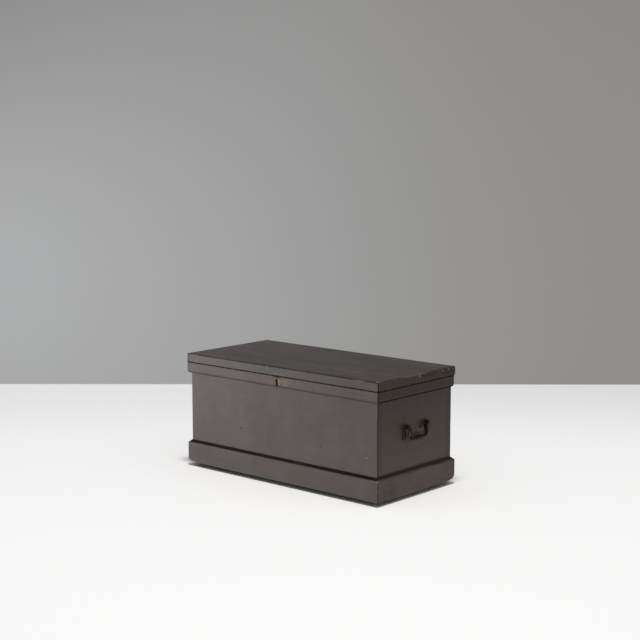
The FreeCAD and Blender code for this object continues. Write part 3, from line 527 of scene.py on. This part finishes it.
# The shade of each copy of the paint holds painted shade: the lid's top and the ends of the rim and edging
# are painted much dimmer than the fronts
MATERIALS = {
    "lid_long": painted_pine(
        "painted_lid_long", X, LID_MARKS, 1.15, 0.74, (1.0, 0.96, 0.95), streaks=0.9, bands=0.65),
    "edging_long": painted_pine(
        "painted_edging_long", X, EDGING_MARKS, 1.15, 1.02, (0.97, 1.0, 1.0),
        edging=(srgb(8, 3, 1), srgb(78, 60, 50))),
    "edging_cross": painted_pine(
        "painted_edging_cross", Y, EDGING_MARKS, 1.5, 0.40, (1.17, 0.97, 0.83), streaks=0.9, bands=0.4,
        edging=(srgb(58, 40, 32), srgb(158, 116, 92))),
    "rim_long": painted_pine(
        "painted_rim_long", X, RIM_MARKS, 1.0, 1.1, (0.98, 1.0, 1.02), under=(0.2, 0.3695, 0.0030)),
    "rim_cross": painted_pine(
        "painted_rim_cross", Y, RIM_MARKS, 1.0, 0.34, (1.15, 0.94, 0.78), under=END_RIM_SHADE),
    # Near-black bevel on the plinth's front: painted shade
    "plinth_long": painted_pine(
        "painted_plinth_long", X, PLINTH_MARKS, 1.0, 1.02, (0.98, 1.0, 1.02),
        ledge=(srgb(20, 8, 3), 0.0925, 0.1052)),
    "plinth_cross": painted_pine(
        "painted_plinth_cross", Y, PLINTH_MARKS, 0.8, 1.0, (1.0, 0.985, 0.95), cracked=CRACKS,
        ledge=(srgb(68, 54, 48), 0.0945, 0.1052)),
    "body_long": painted_pine("painted_body_long", X, FRONT_MARKS, 0.6, 1.07, (0.98, 1.0, 1.03)),
    # On the ends, painted shade dims the paint towards the top and just above the plinth
    "body_cross": painted_pine(
        "painted_body_cross", Y, END_MARKS, 0.6, 0.94, (1.04, 0.97, 0.91), fade=0.46, seam=0.5,
        under=END_RIM_SHADE, ledge=(srgb(66, 54, 48), 0.0925, 0.1120)),
    "bare_long": bare_pine("bare_pine_long", X),
    "bare_cross": bare_pine("bare_pine_cross", Y),
    "dirty_long": bare_pine("dirty_pine_long", X, 0.22),
    "dirty_cross": bare_pine("dirty_pine_cross", Y, 0.22),
    # Near-black wood in the keyhole: painted shade
    "keyhole": bare_pine("keyhole_wood", Y, 0.02, sheen=0.05),
    # The bail's two marks are painted highlights: a pale strip down its front arm and a lighter band under
    # its grip
    "bail": aged_iron(
        "forged_iron_bail", (30, 23, 20), (62, 46, 39), 0.5, 0.62,
        marks=[((176, 168, 158), (482, -56.2, 239), (8, 3.4, 26)),
               ((120, 102, 96), (486, -34, 207), (10, 24, 3.2))]),
    # The front brackets' dark iron also stands in for the bail's shadow on the ends: partly painted shadow
    "bracket": aged_iron(
        "forged_iron_bracket", (34, 29, 27), (66, 50, 44), 0.6, 0.66,
        marks=[((96, 76, 70), (470, -70, 272), (24, 18, 17))]),
    "painted_bracket": aged_iron("forged_iron_painted", (30, 26, 25), (62, 46, 40), 0.5, 0.6, 0.95),
    "hinge": aged_iron("hinge_iron", (44, 40, 38), (78, 58, 46), 0.6, 0.5, 0.25),
    "lock": aged_iron("lock_iron", (58, 56, 56), (84, 70, 60), 0.35, 0.42),
    "nail": aged_iron("nail_iron", (52, 46, 42), (92, 66, 50), 0.7, 0.6),
    "painted_nail": aged_iron("nail_iron_painted", (84, 79, 75), (98, 91, 87), 0.0, 0.6, 0.97),
    "brass": old_brass("old_brass"),
}


# ---- Boards: the frame's solids with softened, worn arrises ----
GRIMY_SHADED_HEIGHT = 0.0335  # below this, bare wood is painted dim: grime, and painted shade under the chest
ROW_PITCH = 0.016  # about this far apart, rows of vertices cross a board
NICK_REACH = 0.0028  # nicks reach this far from an arris
CORNER_RADIUS = 0.003  # of the chest's upright outer corners
# Wood seen in the keyhole, behind its lining, painted near black as the shade in the hole: half width, front,
# middle height and half height
KEYHOLE_WOOD = (0.0072, -0.2275, 0.386, 0.0132)


def solid_of(node):
    """Bmesh of a CAD node, its flat faces whole again."""
    bm = bmesh.new()
    bm.from_mesh(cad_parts[node].data)
    bmesh.ops.remove_doubles(bm, verts=bm.verts, dist=2e-6)
    bmesh.ops.dissolve_limit(bm, angle_limit=0.004, verts=bm.verts, edges=bm.edges)
    return bm


def sharp_edges(bm, limit=0.45):
    """Outward-turning edges sharper than limit, in radians."""
    bm.normal_update()
    return [e for e in bm.edges if e.is_manifold and e.is_convex and e.calc_face_angle() > limit]


def ends_of(edges):
    """Copies of the end points of edges."""
    return [(e.verts[0].co.copy(), e.verts[1].co.copy()) for e in edges]


def from_mitre(point):
    """Distance from the nearest mitre plane, along X."""
    return abs(abs(point.x) - abs(point.y) - MITRE)


def is_joint(node, a, b):
    """Joint with the next piece that an edge lies in, where wear doesn't reach: mitre, seam or none."""
    middle = (a + b) / 2
    x, y = abs(middle.x), abs(middle.y)
    if from_mitre(a) < 5e-5 and from_mitre(b) < 5e-5:
        return "mitre"
    if node.startswith("lid_") and "plank" in node:
        return "" if middle.y > LID_BACK - 0.0005 and x < CARCASE.x + 0.0005 else "seam"
    if node.startswith(MITRED):
        margin = 0.0011 if node.startswith("lid_edge") else 0.0001
        return "seam" if x < CARCASE.x + margin and y < CARCASE.y + margin else ""
    if node.endswith("_board"):
        outer_x, outer_y = x > CARCASE.x - 0.0005, y > CARCASE.y - 0.0005
        inside = x < CARCASE.x - BOARD + 0.0005 and y < CARCASE.y - BOARD + 0.0005
        on_top = min(a.z, b.z) > CARCASE.z - 0.0002
        return "" if outer_x and outer_y or on_top and (outer_x or outer_y or inside) else "seam"
    return ""


def bisect(bm, place, normal, **options):
    """Cuts all of a mesh by a plane."""
    geometry = bm.verts[:] + bm.edges[:] + bm.faces[:]
    return bmesh.ops.bisect_plane(bm, geom=geometry, dist=1e-6, plane_co=place, plane_no=normal, **options)


def cut_rows(bm, rows):
    """Cuts the whole mesh at places along each axis."""
    for axis in (X, Y, Z):
        normal = Vector([float(axis == i) for i in range(3)])
        for place in sorted(rows[axis]):
            bisect(bm, normal * place, normal)


def rows_beside(edges, low, high, steps, margin):
    """Places along each axis at some steps to both sides of the edges that run square to it."""
    rows = [set(), set(), set()]
    for a, b in edges:
        along = max(range(3), key=lambda axis: abs(b[axis] - a[axis]))
        for axis in range(3):
            if axis != along and abs(b[axis] - a[axis]) < 1e-5:
                for place in (round(a[axis] + sign * step, 5) for step in steps for sign in (-1, 1)):
                    if low[axis] + margin < place < high[axis] - margin:
                        rows[axis].add(place)
    return rows


def board_rows(arrises, low, high, mitred, chance):
    """Rows along each axis of a board: beside its arrises and corners, and unevenly along its length."""
    rows = rows_beside(arrises, low, high, (0.0028, 0.0065), 0.0015)
    size = [high[axis] - low[axis] for axis in range(3)]
    long_axis = max(range(3), key=lambda axis: size[axis])
    count = int(size[long_axis] / ROW_PITCH)
    for i in range(1, count):
        place = low[long_axis] + size[long_axis] * (i + chance.uniform(-0.3, 0.3)) / count
        rows[long_axis].add(round(place, 5))
    if mitred:
        for axis in (X, Y):
            for step in (0.001, 0.003):
                rows[axis] |= {OUT[axis] - step, step - OUT[axis]}
    return [spaced_out(rows[axis], low[axis] + 0.0008, high[axis] - 0.0008) for axis in range(3)]


def spaced_out(places, low, high):
    """Places between low and high, without those that crowd the one before."""
    kept = []
    for place in sorted(places):
        if low < place < high and (not kept or place - kept[-1] > 0.0009):
            kept.append(place)
    return kept


def segment_distance(points, segments):
    """Distance from each point to the nearest segment."""
    best = np.full(len(points), 1.0)
    for a, b in segments:
        a, b = np.array(a), np.array(b)
        along = b - a
        t = np.clip((points - a) @ along / max(along @ along, 1e-12), 0, 1)
        best = np.minimum(best, np.linalg.norm(points - a - t[:, None] * along, axis=1))
    return best


def float_layer(mesh, name, values):
    layer = mesh.attributes.new(name, "FLOAT", "POINT")
    layer.data.foreach_set("value", np.asarray(values, np.float32))


def arris_layer(mesh, arrises):
    """Stores each vertex's distance from the nearest arris, for the materials."""
    points = np.zeros(len(mesh.vertices) * 3, np.float32)
    mesh.vertices.foreach_get("co", points)
    float_layer(mesh, "arris", segment_distance(points.reshape(-1, 3).astype(float), arrises))


def soften(bm, edges, width, profile):
    """Rounds edges off by a width in millimetres."""
    bmesh.ops.bevel(bm, geom=edges, offset=width * MM, segments=2, profile=profile, affect="EDGES",
                    clamp_overlap=True)


def round_corners(bm):
    """Rounds the upright outer corners across their mitres, so that both boards stay in touch."""
    radius = CORNER_RADIUS
    for v in bm.verts:
        u, w = OUT.x - abs(v.co.x), OUT.y - abs(v.co.y)
        if u < radius and w < radius:
            away = math.hypot(radius - u, radius - w)
            if away > radius:
                v.co.x = math.copysign(OUT.x - radius + (radius - u) * radius / away, v.co.x)
                v.co.y = math.copysign(OUT.y - radius + (radius - w) * radius / away, v.co.y)


def corner_lines(low, high):
    """The chest's four upright outer corners between two heights."""
    corners = [Vector((x * OUT.x, y * OUT.y, 0)) for x in (-1, 1) for y in (-1, 1)]
    return [(corner + Vector((0, 0, low)), corner + Vector((0, 0, high))) for corner in corners]


def nick(bm, arrises, mitred, wear):
    """Wears a board unevenly along its arrises, but not next to a mitre."""
    bm.normal_update()
    points = np.array([v.co for v in bm.verts], float).reshape(-1, 3)
    for v, away in zip(bm.verts, segment_distance(points, arrises)):
        if away < NICK_REACH and not (mitred and from_mitre(v.co) < 0.004):
            depth = noise.fractal(v.co * 95, 1.0, 2.0, 3) + 0.35 * noise.noise(v.co * 21)
            v.co -= v.normal * max(0.0, depth - 0.05) * wear * MM * (1 - away / NICK_REACH)


def linked(name, bm):
    """Object of a bmesh in the scene; the bmesh is used up."""
    mesh = bpy.data.meshes.new(name)
    bm.to_mesh(mesh)
    bm.free()
    piece = bpy.data.objects.new(name, mesh)
    bpy.context.scene.collection.objects.link(piece)
    return piece


def blob(centre, radii, seed):
    """Lumpy cutter for a chip, all in millimetres."""
    bm = bmesh.new()
    bmesh.ops.create_icosphere(bm, subdivisions=3, radius=1.0)
    for v in bm.verts:
        v.co *= 1 + 0.28 * noise.noise(v.co * 1.7 + Vector((seed, 0, 0)))
        v.co = Vector([c + r * x for c, r, x in zip(centre, radii, v.co)]) * MM
    return linked("cutter", bm)


def carve(piece, cutters):
    """Cuts chips out of a piece and throws the cutters away."""
    for cutter in cutters:
        change = piece.modifiers.new("chip", "BOOLEAN")
        change.operation, change.solver, change.object = "DIFFERENCE", "EXACT", cutter
    bpy.context.view_layer.update()
    carved = bpy.data.meshes.new_from_object(piece.evaluated_get(bpy.context.evaluated_depsgraph_get()))
    piece.modifiers.clear()
    old = piece.data
    piece.data = carved
    bpy.data.meshes.remove(old)
    for cutter in cutters:
        bpy.data.objects.remove(cutter)


def smooth_shading(mesh, degrees=35):
    mesh.shade_smooth()
    mesh.set_sharp_from_angle(angle=math.radians(degrees))


def new_piece(name, bm, body, slot, *nodes):
    """Mesh object from a bmesh that stands for some CAD nodes."""
    piece = linked(name, bm)
    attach(piece, body)
    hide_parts(*nodes)
    return piece


def clip(bm, corner, reaches):
    """Cuts a corner off by slanting planes that cross its three edges at some reaches, in millimetres."""
    for reach in reaches:
        inward = Vector([-math.copysign(1 / (r * MM), c) for r, c in zip(reach, corner[:2] + (-1,))])
        place = Vector(corner) * MM + Vector((-math.copysign(reach[0] * MM, corner[0]), 0, 0))
        cut = bisect(bm, place, inward.normalized(), clear_inner=True)
        rim = [e for e in cut["geom_cut"] if isinstance(e, bmesh.types.BMEdge) and e.is_boundary]
        if rim:
            bmesh.ops.contextual_create(bm, geom=rim)


# Lost corners: boards, place of the corner, reaches along X, Y and Z
LOST_CORNERS = [
    (("plinth_front", "plinth_left"), (-475, -228, 16), ((30, 34, 10), (58, 52, 5), (10, 12, 17))),
    (("plinth_back", "plinth_right"), (475, 228, 16), ((26, 34, 12), (42, 56, 7), (12, 15, 22))),
]
# Chips: board, centre, radii and seed
CHIPS = [
    ("plinth_front", (-240, -222, 101.5), (6, 4, 3), 3),
    ("plinth_front", (473, -229, 95), (10, 5, 4), 5),
    ("plinth_right", (473, -229, 95), (10, 5, 4), 5),
]


def board(node, body, grain, painted, arris=0.9, seam=0.3, wear=0.6):
    """Worn copy of a CAD board: softened arrises with nicks, lost corners, chips, paint and bare wood."""
    low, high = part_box(node)
    chance = random.Random(node)
    mitred = node.startswith(MITRED)
    bm = solid_of(node)
    arrises = [(a, b) for a, b in ends_of(sharp_edges(bm)) if not is_joint(node, a, b)]
    cut_rows(bm, board_rows(arrises, low, high, mitred, chance))
    for kind, width in (("", arris), ("seam", seam)):
        edges = [e for e in sharp_edges(bm) if is_joint(node, e.verts[0].co, e.verts[1].co) == kind]
        if kind == "seam":
            edges = [e for e in edges if e.calc_length() > 2 * seam * MM]
        if edges:
            soften(bm, edges, width, 0.55)
    if mitred:
        round_corners(bm)
        arrises += corner_lines(low.z, high.z)
    for owners, corner, reaches in LOST_CORNERS:
        if node in owners:
            clip(bm, corner, reaches)
    nick(bm, arrises, mitred, wear)
    piece = new_piece(node + "_worn", bm, body, "painted_pine" if painted else "bare_pine", node)
    cutters = [blob(centre, radii, seed) for owner, centre, radii, seed in CHIPS if owner == node]
    if cutters:
        carve(piece, cutters)
    mesh = piece.data
    smooth_shading(mesh)
    arris_layer(mesh, arrises)
    float_layer(mesh, "board", np.full(len(mesh.vertices), chance.random()))
    paint_board(node, mesh, "long" if grain == X else "cross", painted)


def is_outside(node, centre, normal):
    """Whether a face of a board carries paint."""
    if "plank" in node:
        return centre.z > OUT.z - 0.0025 or centre.y > LID_BACK - 0.0005 or normal.y > 0.9
    margin = 0.0016 if node.startswith("lid_edge") else 0.0004 if node.startswith(MITRED) else -0.0012
    outer = abs(centre.x) > CARCASE.x + margin or abs(centre.y) > CARCASE.y + margin
    return outer and normal.z > -0.9


def set_materials(mesh, *names):
    mesh.materials.clear()
    for name in names:
        mesh.materials.append(MATERIALS[name])


def in_keyhole(centre):
    half_width, front, height, half_height = KEYHOLE_WOOD
    return abs(centre.x) < half_width and abs(centre.z - height) < half_height and centre.y > front


def paint_board(node, mesh, way, painted):
    """Gives each face its material: paint by the side of the chest it shows on, wood inside, grime and
    painted shade below.
    """
    names = ["bare_" + way, "dirty_" + way]
    if painted:
        names += [painted + "_long", painted + "_cross"] if painted == "body" else [f"{painted}_{way}"]
    if node in ("rim_moulding_front", "front_board"):
        names.append("keyhole")
    set_materials(mesh, *names)
    for face in mesh.polygons:
        centre, normal = face.center, face.normal
        if max(abs(n) for n in normal) > 0.99999:
            face.use_smooth = False
        choice = "bare_" + way
        if painted and is_outside(node, centre, normal):
            choice = f"{painted}_{way}"
            if painted == "body":
                choice = "body_cross" if abs(normal.x) > abs(normal.y) else "body_long"
        elif centre.z < GRIMY_SHADED_HEIGHT:
            choice = "dirty_" + way
        if names[-1] == "keyhole" and in_keyhole(centre):
            choice = "keyhole"
        face.material_index = names.index(choice)


for side in ("front", "back"):
    board(f"{side}_board", "chest", X, "body")
    board(f"plinth_{side}", "chest", X, "plinth", arris=0.8, wear=0.9)
    board(f"{side}_bearer", "chest", X, "", arris=1.5, wear=0.9)
    board(f"lid_{side}_plank", "lid", X, "lid", seam=0.2)
for side in ("left", "right"):
    board(f"{side}_end_board", "chest", Y, "body")
    board(f"plinth_{side}", "chest", Y, "plinth", arris=0.8, wear=0.9)
    board(f"rim_moulding_{side}", "chest", Y, "rim", arris=0.7)
    board(f"lid_edge_{side}", "lid", Y, "edging", arris=0.7, wear=0.8)
    board(f"{side}_lid_batten", "lid", Y, "", arris=0.8)
board("rim_moulding_front", "chest", X, "rim", arris=0.7)
board("lid_edge_front", "lid", X, "edging", arris=0.7, wear=0.8)
for index in range(1, 6):
    board(f"floor_board_{index}", "chest", Y, "", arris=0.6)


# ---- Ironwork ----
# An edge far from everything, for ironwork without rubbed arrises
NO_ARRISES = [(Vector((9, 9, 9)), Vector((9, 9, 9.1)))]


def finish_piece(piece, arrises, material, degrees=40):
    smooth_shading(piece.data, degrees)
    arris_layer(piece.data, arrises)
    set_materials(piece.data, material)


def metal(node, body, slot, material, bevel=0.6, wear=0.12, name="_forged"):
    """Iron piece from its CAD node: eased arrises, slight hammering, the node's own shape otherwise."""
    low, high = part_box(node)
    bm = solid_of(node)
    arrises = ends_of(sharp_edges(bm))
    cut_rows(bm, rows_beside(arrises, low, high, (0.0018,), 0.0009))
    soften(bm, sharp_edges(bm), bevel, 0.6)
    bm.normal_update()
    for v in bm.verts:
        v.co += v.normal * min(0.0, noise.fractal(v.co * 130, 1.0, 2.0, 2)) * wear * MM
    finish_piece(new_piece(node + name, bm, body, slot, node), arrises, material)


def skin(bm, loops):
    """Closed surface over rings of vertices."""
    for a, b in zip(loops, loops[1:]):
        for k in range(len(a)):
            after = (k + 1) % len(a)
            bm.faces.new((a[k], a[after], b[after], b[k]))
    bm.faces.new(loops[0][::-1])
    bm.faces.new(loops[-1])


# Bail, in millimetres: half widths at pivot and grip, drop, bend radii, pintle reach
BAIL_TOP, BAIL_GRIP, BAIL_DROP = 47.0, 52.0, 45.0
ELBOW, BEND, PINTLE_REACH = 6.8, 17.0, 16.3
# Radius of the pintle, what arm and grip add to it, and where and over what length they do
PINTLE, ARM, GRIP = 4.0, 1.8, 2.6
SHOULDER_PLACE, SHOULDER_LENGTH = 54.0, 3.5
SWELL_PLACE, SWELL_LENGTH = 34, 24
PIVOT = Vector((476, 0, 260))
LEAN = math.radians(4)
OUTWARD = Vector((1, 0, 0))
BAR_SIDES, SCREW_SIDES = 20, 16


def arc(corner, before, after, radius, steps=9):
    """Points on the rounding of a corner between two unit directions."""
    turn = before.angle(after)
    start = corner - before * (radius * math.tan(turn / 2))
    inward = (after - before * before.dot(after)).normalized()
    centre = start + inward * radius
    angles = [turn * i / steps for i in range(steps + 1)]
    return [centre - inward * radius * math.cos(t) + before * radius * math.sin(t) for t in angles]


def bail_line():
    """Centre line of the whole bail in its own plane, from the back pintle round to the front one."""
    top, bottom = Vector((0, BAIL_TOP, 0)), Vector((0, BAIL_GRIP, -BAIL_DROP))
    inward, down = Vector((0, -1, 0)), (bottom - top).normalized()
    half = [Vector((0, BAIL_TOP + PINTLE_REACH, 0))]
    half += arc(top, inward, down, ELBOW) + arc(bottom, down, inward, BEND)
    whole = half + [Vector((0, -p.y, p.z)) for p in half[::-1]]
    line = [whole[0]]
    for a, b in zip(whole, whole[1:]):
        count = max(1, round((b - a).length / 1.6))
        line += [a.lerp(b, i / count) for i in range(1, count + 1)]
    return line


def clamped(value):
    return min(1.0, max(0.0, value))


def bail_radius(p):
    """Radius of the bar: thin pintle, stout arm, swelled grip."""
    shoulder = clamped((SHOULDER_PLACE - abs(p.y)) / SHOULDER_LENGTH) if p.z > -9 else 1.0
    swell = clamped((SWELL_PLACE - abs(p.y)) / SWELL_LENGTH) if p.z < 1 - BAIL_DROP else 0.0
    return PINTLE + ARM * shoulder + GRIP * swell * swell * (3 - 2 * swell)


def bail_rings():
    """Cross-sections of the bail: centre, direction in its plane and radius, domed at both ends."""
    line = bail_line()
    rings = []
    for i, p in enumerate(line):
        way = (line[min(i + 1, len(line) - 1)] - line[max(i - 1, 0)]).normalized()
        rings.append((p, way.cross(OUTWARD).normalized(), bail_radius(p)))
    domes = []
    for (p, across, radius), end in ((rings[0], 1), (rings[-1], -1)):
        domes.append([(p + Vector((0, end, 0)) * radius * 0.35 * math.sin(t), across, radius * math.cos(t))
                      for t in (0.5, 1.0, 1.4)])
    return domes[0][::-1] + rings + domes[1]


def bail(side, body):
    """Drop handle drawn out under the hammer from one bar."""
    sign = 1 if side == "right" else -1
    lean = Matrix.Rotation(-LEAN, 3, "Y")
    bm = bmesh.new()
    loops = []
    for p, across, radius in bail_rings():
        loop = []
        for k in range(BAR_SIDES):
            turn = 2 * math.pi * k / BAR_SIDES
            outward = across * math.cos(turn) + OUTWARD * math.sin(turn)
            rough = 0.0 if p.z > -3 else 0.4 * noise.noise((p + outward * radius) * 0.12) - 0.14
            q = lean @ (p + outward * (radius + rough)) + PIVOT
            loop.append(bm.verts.new((sign * q.x * MM, q.y * MM, q.z * MM)))
        loops.append(loop)
    skin(bm, loops)
    bmesh.ops.recalc_face_normals(bm, faces=bm.faces)
    piece = new_piece(f"{side}_bail_forged", bm, body, "forged_iron", f"{side}_bail_handle")
    finish_piece(piece, NO_ARRISES, "bail")


def islands(bm):
    """Places of the vertices of each loose part."""
    left = set(bm.verts)
    while left:
        first = min(left, key=lambda v: v.index)
        found, queue = {first}, [first]
        while queue:
            for edge in queue.pop().link_edges:
                for v in edge.verts:
                    if v not in found:
                        found.add(v)
                        queue.append(v)
        left -= found
        yield [v.co.copy() for v in sorted(found, key=lambda v: v.index)]


def head_and_point(points):
    """Middles of the two ends of a CAD screw, the wide end first."""
    spread = [max(p[axis] for p in points) - min(p[axis] for p in points) for axis in range(3)]
    axis = spread.index(max(spread))
    ends = []
    for end in (min(p[axis] for p in points), max(p[axis] for p in points)):
        ring = [p for p in points if abs(p[axis] - end) < 1e-5]
        middle = sum(ring, Vector()) / len(ring)
        ends.append((max((p - middle).length for p in ring), middle))
    return [middle for radius, middle in sorted(ends, key=lambda end: -end[0])]


def screws(node, body, slot, material, length):
    """Slotted wood screws where the CAD has them: low dome, slot, countersunk neck and tapered shank."""
    chance = random.Random(node)
    # Outline from the head to the point, as (height, radius), and the cut of the screwdriver slot
    outline = [(0.40, 1.3), (0.30, 2.6), (0.0, 3.55), (-1.9, 1.75), (-0.72 * length, 1.6), (-length, 0.5)]
    cut_size, cut_middle = Vector((9, 0.9, 1.2)), Vector((0, 0, 0.45))
    bm, cuts, source = bmesh.new(), bmesh.new(), bmesh.new()
    source.from_mesh(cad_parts[node].data)
    bmesh.ops.remove_doubles(source, verts=source.verts, dist=2e-6)
    source.verts.index_update()
    for points in islands(source):
        head, point = head_and_point(points)
        facing = (head - point).normalized().to_track_quat("Z", "Y").to_matrix()
        turn = facing @ Matrix.Rotation(chance.uniform(0, math.pi), 3, "Z")
        loops = []
        angles = [2 * math.pi * k / SCREW_SIDES for k in range(SCREW_SIDES)]
        for height, radius in outline:
            ring = [Vector((radius * math.cos(t), radius * math.sin(t), height)) * MM for t in angles]
            loops.append([bm.verts.new(head + turn @ place) for place in ring])
        skin(bm, loops)
        for v in bmesh.ops.create_cube(cuts, size=1.0)["verts"]:
            v.co = head + turn @ ((v.co * cut_size + cut_middle) * MM)
    source.free()
    bmesh.ops.recalc_face_normals(bm, faces=bm.faces)
    piece = new_piece(node + "_slotted", bm, body, slot, node)
    carve(piece, [linked("cutter", cuts)])
    finish_piece(piece, NO_ARRISES, material, 30)


for side in ("right", "left"):
    bail(side, f"{side}_bail")
    metal(f"{side}_handle_front_bracket", "chest", "forged_iron", "bracket")
    metal(f"{side}_handle_back_bracket", "chest", "forged_iron", "painted_bracket")
    metal(f"{side}_hinge_body_leaf", "chest", "hinge_iron", "hinge", 0.35, 0.06)
    metal(f"{side}_hinge_lid_leaf", "lid", "hinge_iron", "hinge", 0.35, 0.06)
    screws(f"{side}_handle_screws", "chest", "forged_iron", "bracket" if side == "right" else "bail", 18)
screws("hinge_body_screws", "chest", "hinge_iron", "hinge", 15)
screws("hinge_lid_screws", "lid", "hinge_iron", "hinge", 15)
screws("lock_screws", "chest", "lock_iron", "lock", 15)
screws("link_plate_screws", "lid", "lock_iron", "lock", 15)
for name, body in (("lock_backplate", "chest"), ("lock_cap", "chest"), ("lid_link_plate", "lid")):
    metal(name, body, "lock_iron", "lock", 0.4, 0.05, "_plate")

# Nodes that show as the CAD has them
OWN_FINISH = {"keyhole_escutcheon": "brass", "lid_edge_nails": "painted_nail",
              "rim_moulding_nails": "painted_nail", "plinth_nails": "painted_nail"}
for name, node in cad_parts.items():
    if not node.hide_render:
        plain = "hinge" if "hinge" in name else "lock" if "lock" in name else "nail"
        set_materials(node.data, OWN_FINISH.get(name, plain))


# ---- Studio ----
YAW, PITCH, ROLL = math.radians(41.191), math.radians(8.018), math.radians(0.053)
EYE = Vector((3.4715, -3.9562, 1.3342))
FOCAL_PIXELS, FRAME_PIXELS, SENSOR = 1414.47, 640, 36.0
WALL_DISTANCE = 7.115
HALF_WIDTH, FLOOR_DEPTH, WALL_HEIGHT = 14, 24, 9
FLOOR_SHOWN = (1.16, 1.22, 1.29, 1)
WALL_SHOWN = (0.74, 0.74, 0.735, 1)
SKY = (0.43, 0.42, 0.41)


def set_camera():
    back = Vector((math.sin(YAW) * math.cos(PITCH), -math.cos(YAW) * math.cos(PITCH), math.sin(PITCH)))
    right = (-back).cross(Vector((0, 0, 1))).normalized()
    up = right.cross(-back)
    right, up = (right * math.cos(ROLL) + up * math.sin(ROLL), up * math.cos(ROLL) - right * math.sin(ROLL))
    data = bpy.data.cameras.new("camera")
    data.sensor_width, data.lens = SENSOR, FOCAL_PIXELS / FRAME_PIXELS * SENSOR
    data.clip_end = 100
    camera = bpy.data.objects.new("camera", data)
    camera.matrix_world = Matrix((right, up, back)).transposed().to_4x4()
    camera.location = EYE
    bpy.context.scene.collection.objects.link(camera)
    bpy.context.scene.camera = camera


def sheet(name, corners, material):
    bm = bmesh.new()
    bm.faces.new([bm.verts.new(corner) for corner in corners])
    piece = linked(name, bm)
    piece.data.materials.append(material)
    return piece


def area_light(name, place, target, size, power, colour, floor, floor_only=False):
    """Soft lamp for everything but the floor, or for the floor alone."""
    data = bpy.data.lights.new(name, "AREA")
    data.shape, data.size, data.size_y = "RECTANGLE", size[0], size[1]
    data.energy, data.color = power, colour
    light = bpy.data.objects.new(name, data)
    light.location = place
    light.rotation_euler = (Vector(target) - Vector(place)).to_track_quat("-Z", "Y").to_euler()
    bpy.context.scene.collection.objects.link(light)
    receivers = bpy.data.collections.new(name + "_receivers")
    receivers.objects.link(floor)
    receivers.collection_objects[0].light_linking.link_state = "INCLUDE" if floor_only else "EXCLUDE"
    light.light_linking.receiver_collection = receivers


def studio_surface(name, colour, shown, direction, start, end, painted_shade):
    """Plain matt surface, seen from its front only; shown is its colour for the camera and reflections.

    It is painted dimmer along a direction, from the distance start to the distance end: painted shade.
    """
    s = Shade(name)
    s.nodes.remove(s.surface)
    rays = s.nodes.new("ShaderNodeLightPath").outputs
    seen = s.most(rays["Is Camera Ray"], rays["Is Glossy Ray"], rays["Is Transmission Ray"])
    along = s.vector("DOT_PRODUCT", s.place, direction)
    shown = s.over(shown, (0, 0, 0, 1), s.span(along, start, end, 0.0, painted_shade))
    matt = s.node("BsdfDiffuse", 0, {"Color": s.mix(seen, colour, shown)})
    clear = s.node("BsdfTransparent", 0, {})
    behind = s.node("NewGeometry", "Backfacing", {})
    both = s.node("MixShader", 0, {0: behind, 1: matt, 2: clear})
    s.plug(s.nodes["Material Output"].inputs["Surface"], both)
    return s.owner


def set_sky():
    """Grey light from all round, weaker from low down."""
    s = Shade("studio", bpy.data.worlds, "Background")
    bpy.context.scene.world = s.owner
    height = s.node("SeparateXYZ", "Z", {0: s.node("TexCoord", "Generated", {})})
    share = s.span(height, 0.0, 0.6, 0.3, 1.0, smooth=False)
    s.set(Color=s.node("VectorMath", 0, {0: SKY, "Scale": share}, operation="SCALE"))


def set_studio():
    """Floor and back wall square to the camera, and the lamps."""
    away = Vector((-math.sin(YAW), math.cos(YAW), 0))
    side = Vector((math.cos(YAW), math.sin(YAW), 0))
    foot = Vector((EYE.x, EYE.y, 0)) + away * WALL_DISTANCE
    left, right = foot - side * HALF_WIDTH, foot + side * HALF_WIDTH
    near, up = away * FLOOR_DEPTH, Vector((0, 0, WALL_HEIGHT))
    # Painted shade: the floor dims towards the wall's foot and the wall towards its left end
    floor_paint = studio_surface("studio_floor", srgb(166, 166, 166), FLOOR_SHOWN,
                                 away, foot.dot(away) - 1.5, foot.dot(away) - 0.1, 0.1)
    wall_paint = studio_surface("studio_wall", srgb(186, 186, 186), WALL_SHOWN,
                                side, foot.dot(side) + 0.2, foot.dot(side) - 1.5, 0.14)
    floor = sheet("floor", [left, left - near, right - near, right], floor_paint)
    sheet("backdrop", [left, right, right + up, left + up], wall_paint)
    area_light("key", (-1.8, -1.7, 0.75), (-0.15, 0, 0.2), (1.4, 0.9), 37, (0.94, 0.98, 1.04), floor)
    area_light("side", (2.6, 3.4, 1.3), (0.4, 0, 0.25), (0.8, 0.8), 8, (1, 1, 1), floor)
    area_light("top", (1.3, -1.25, 9.0), (0.3, -0.7, 0), (1.4, 1.4), 385, (1.08, 1, 0.92), floor, True)


set_camera()
set_sky()
set_studio()
bpy.context.scene.view_settings.view_transform = "Standard"
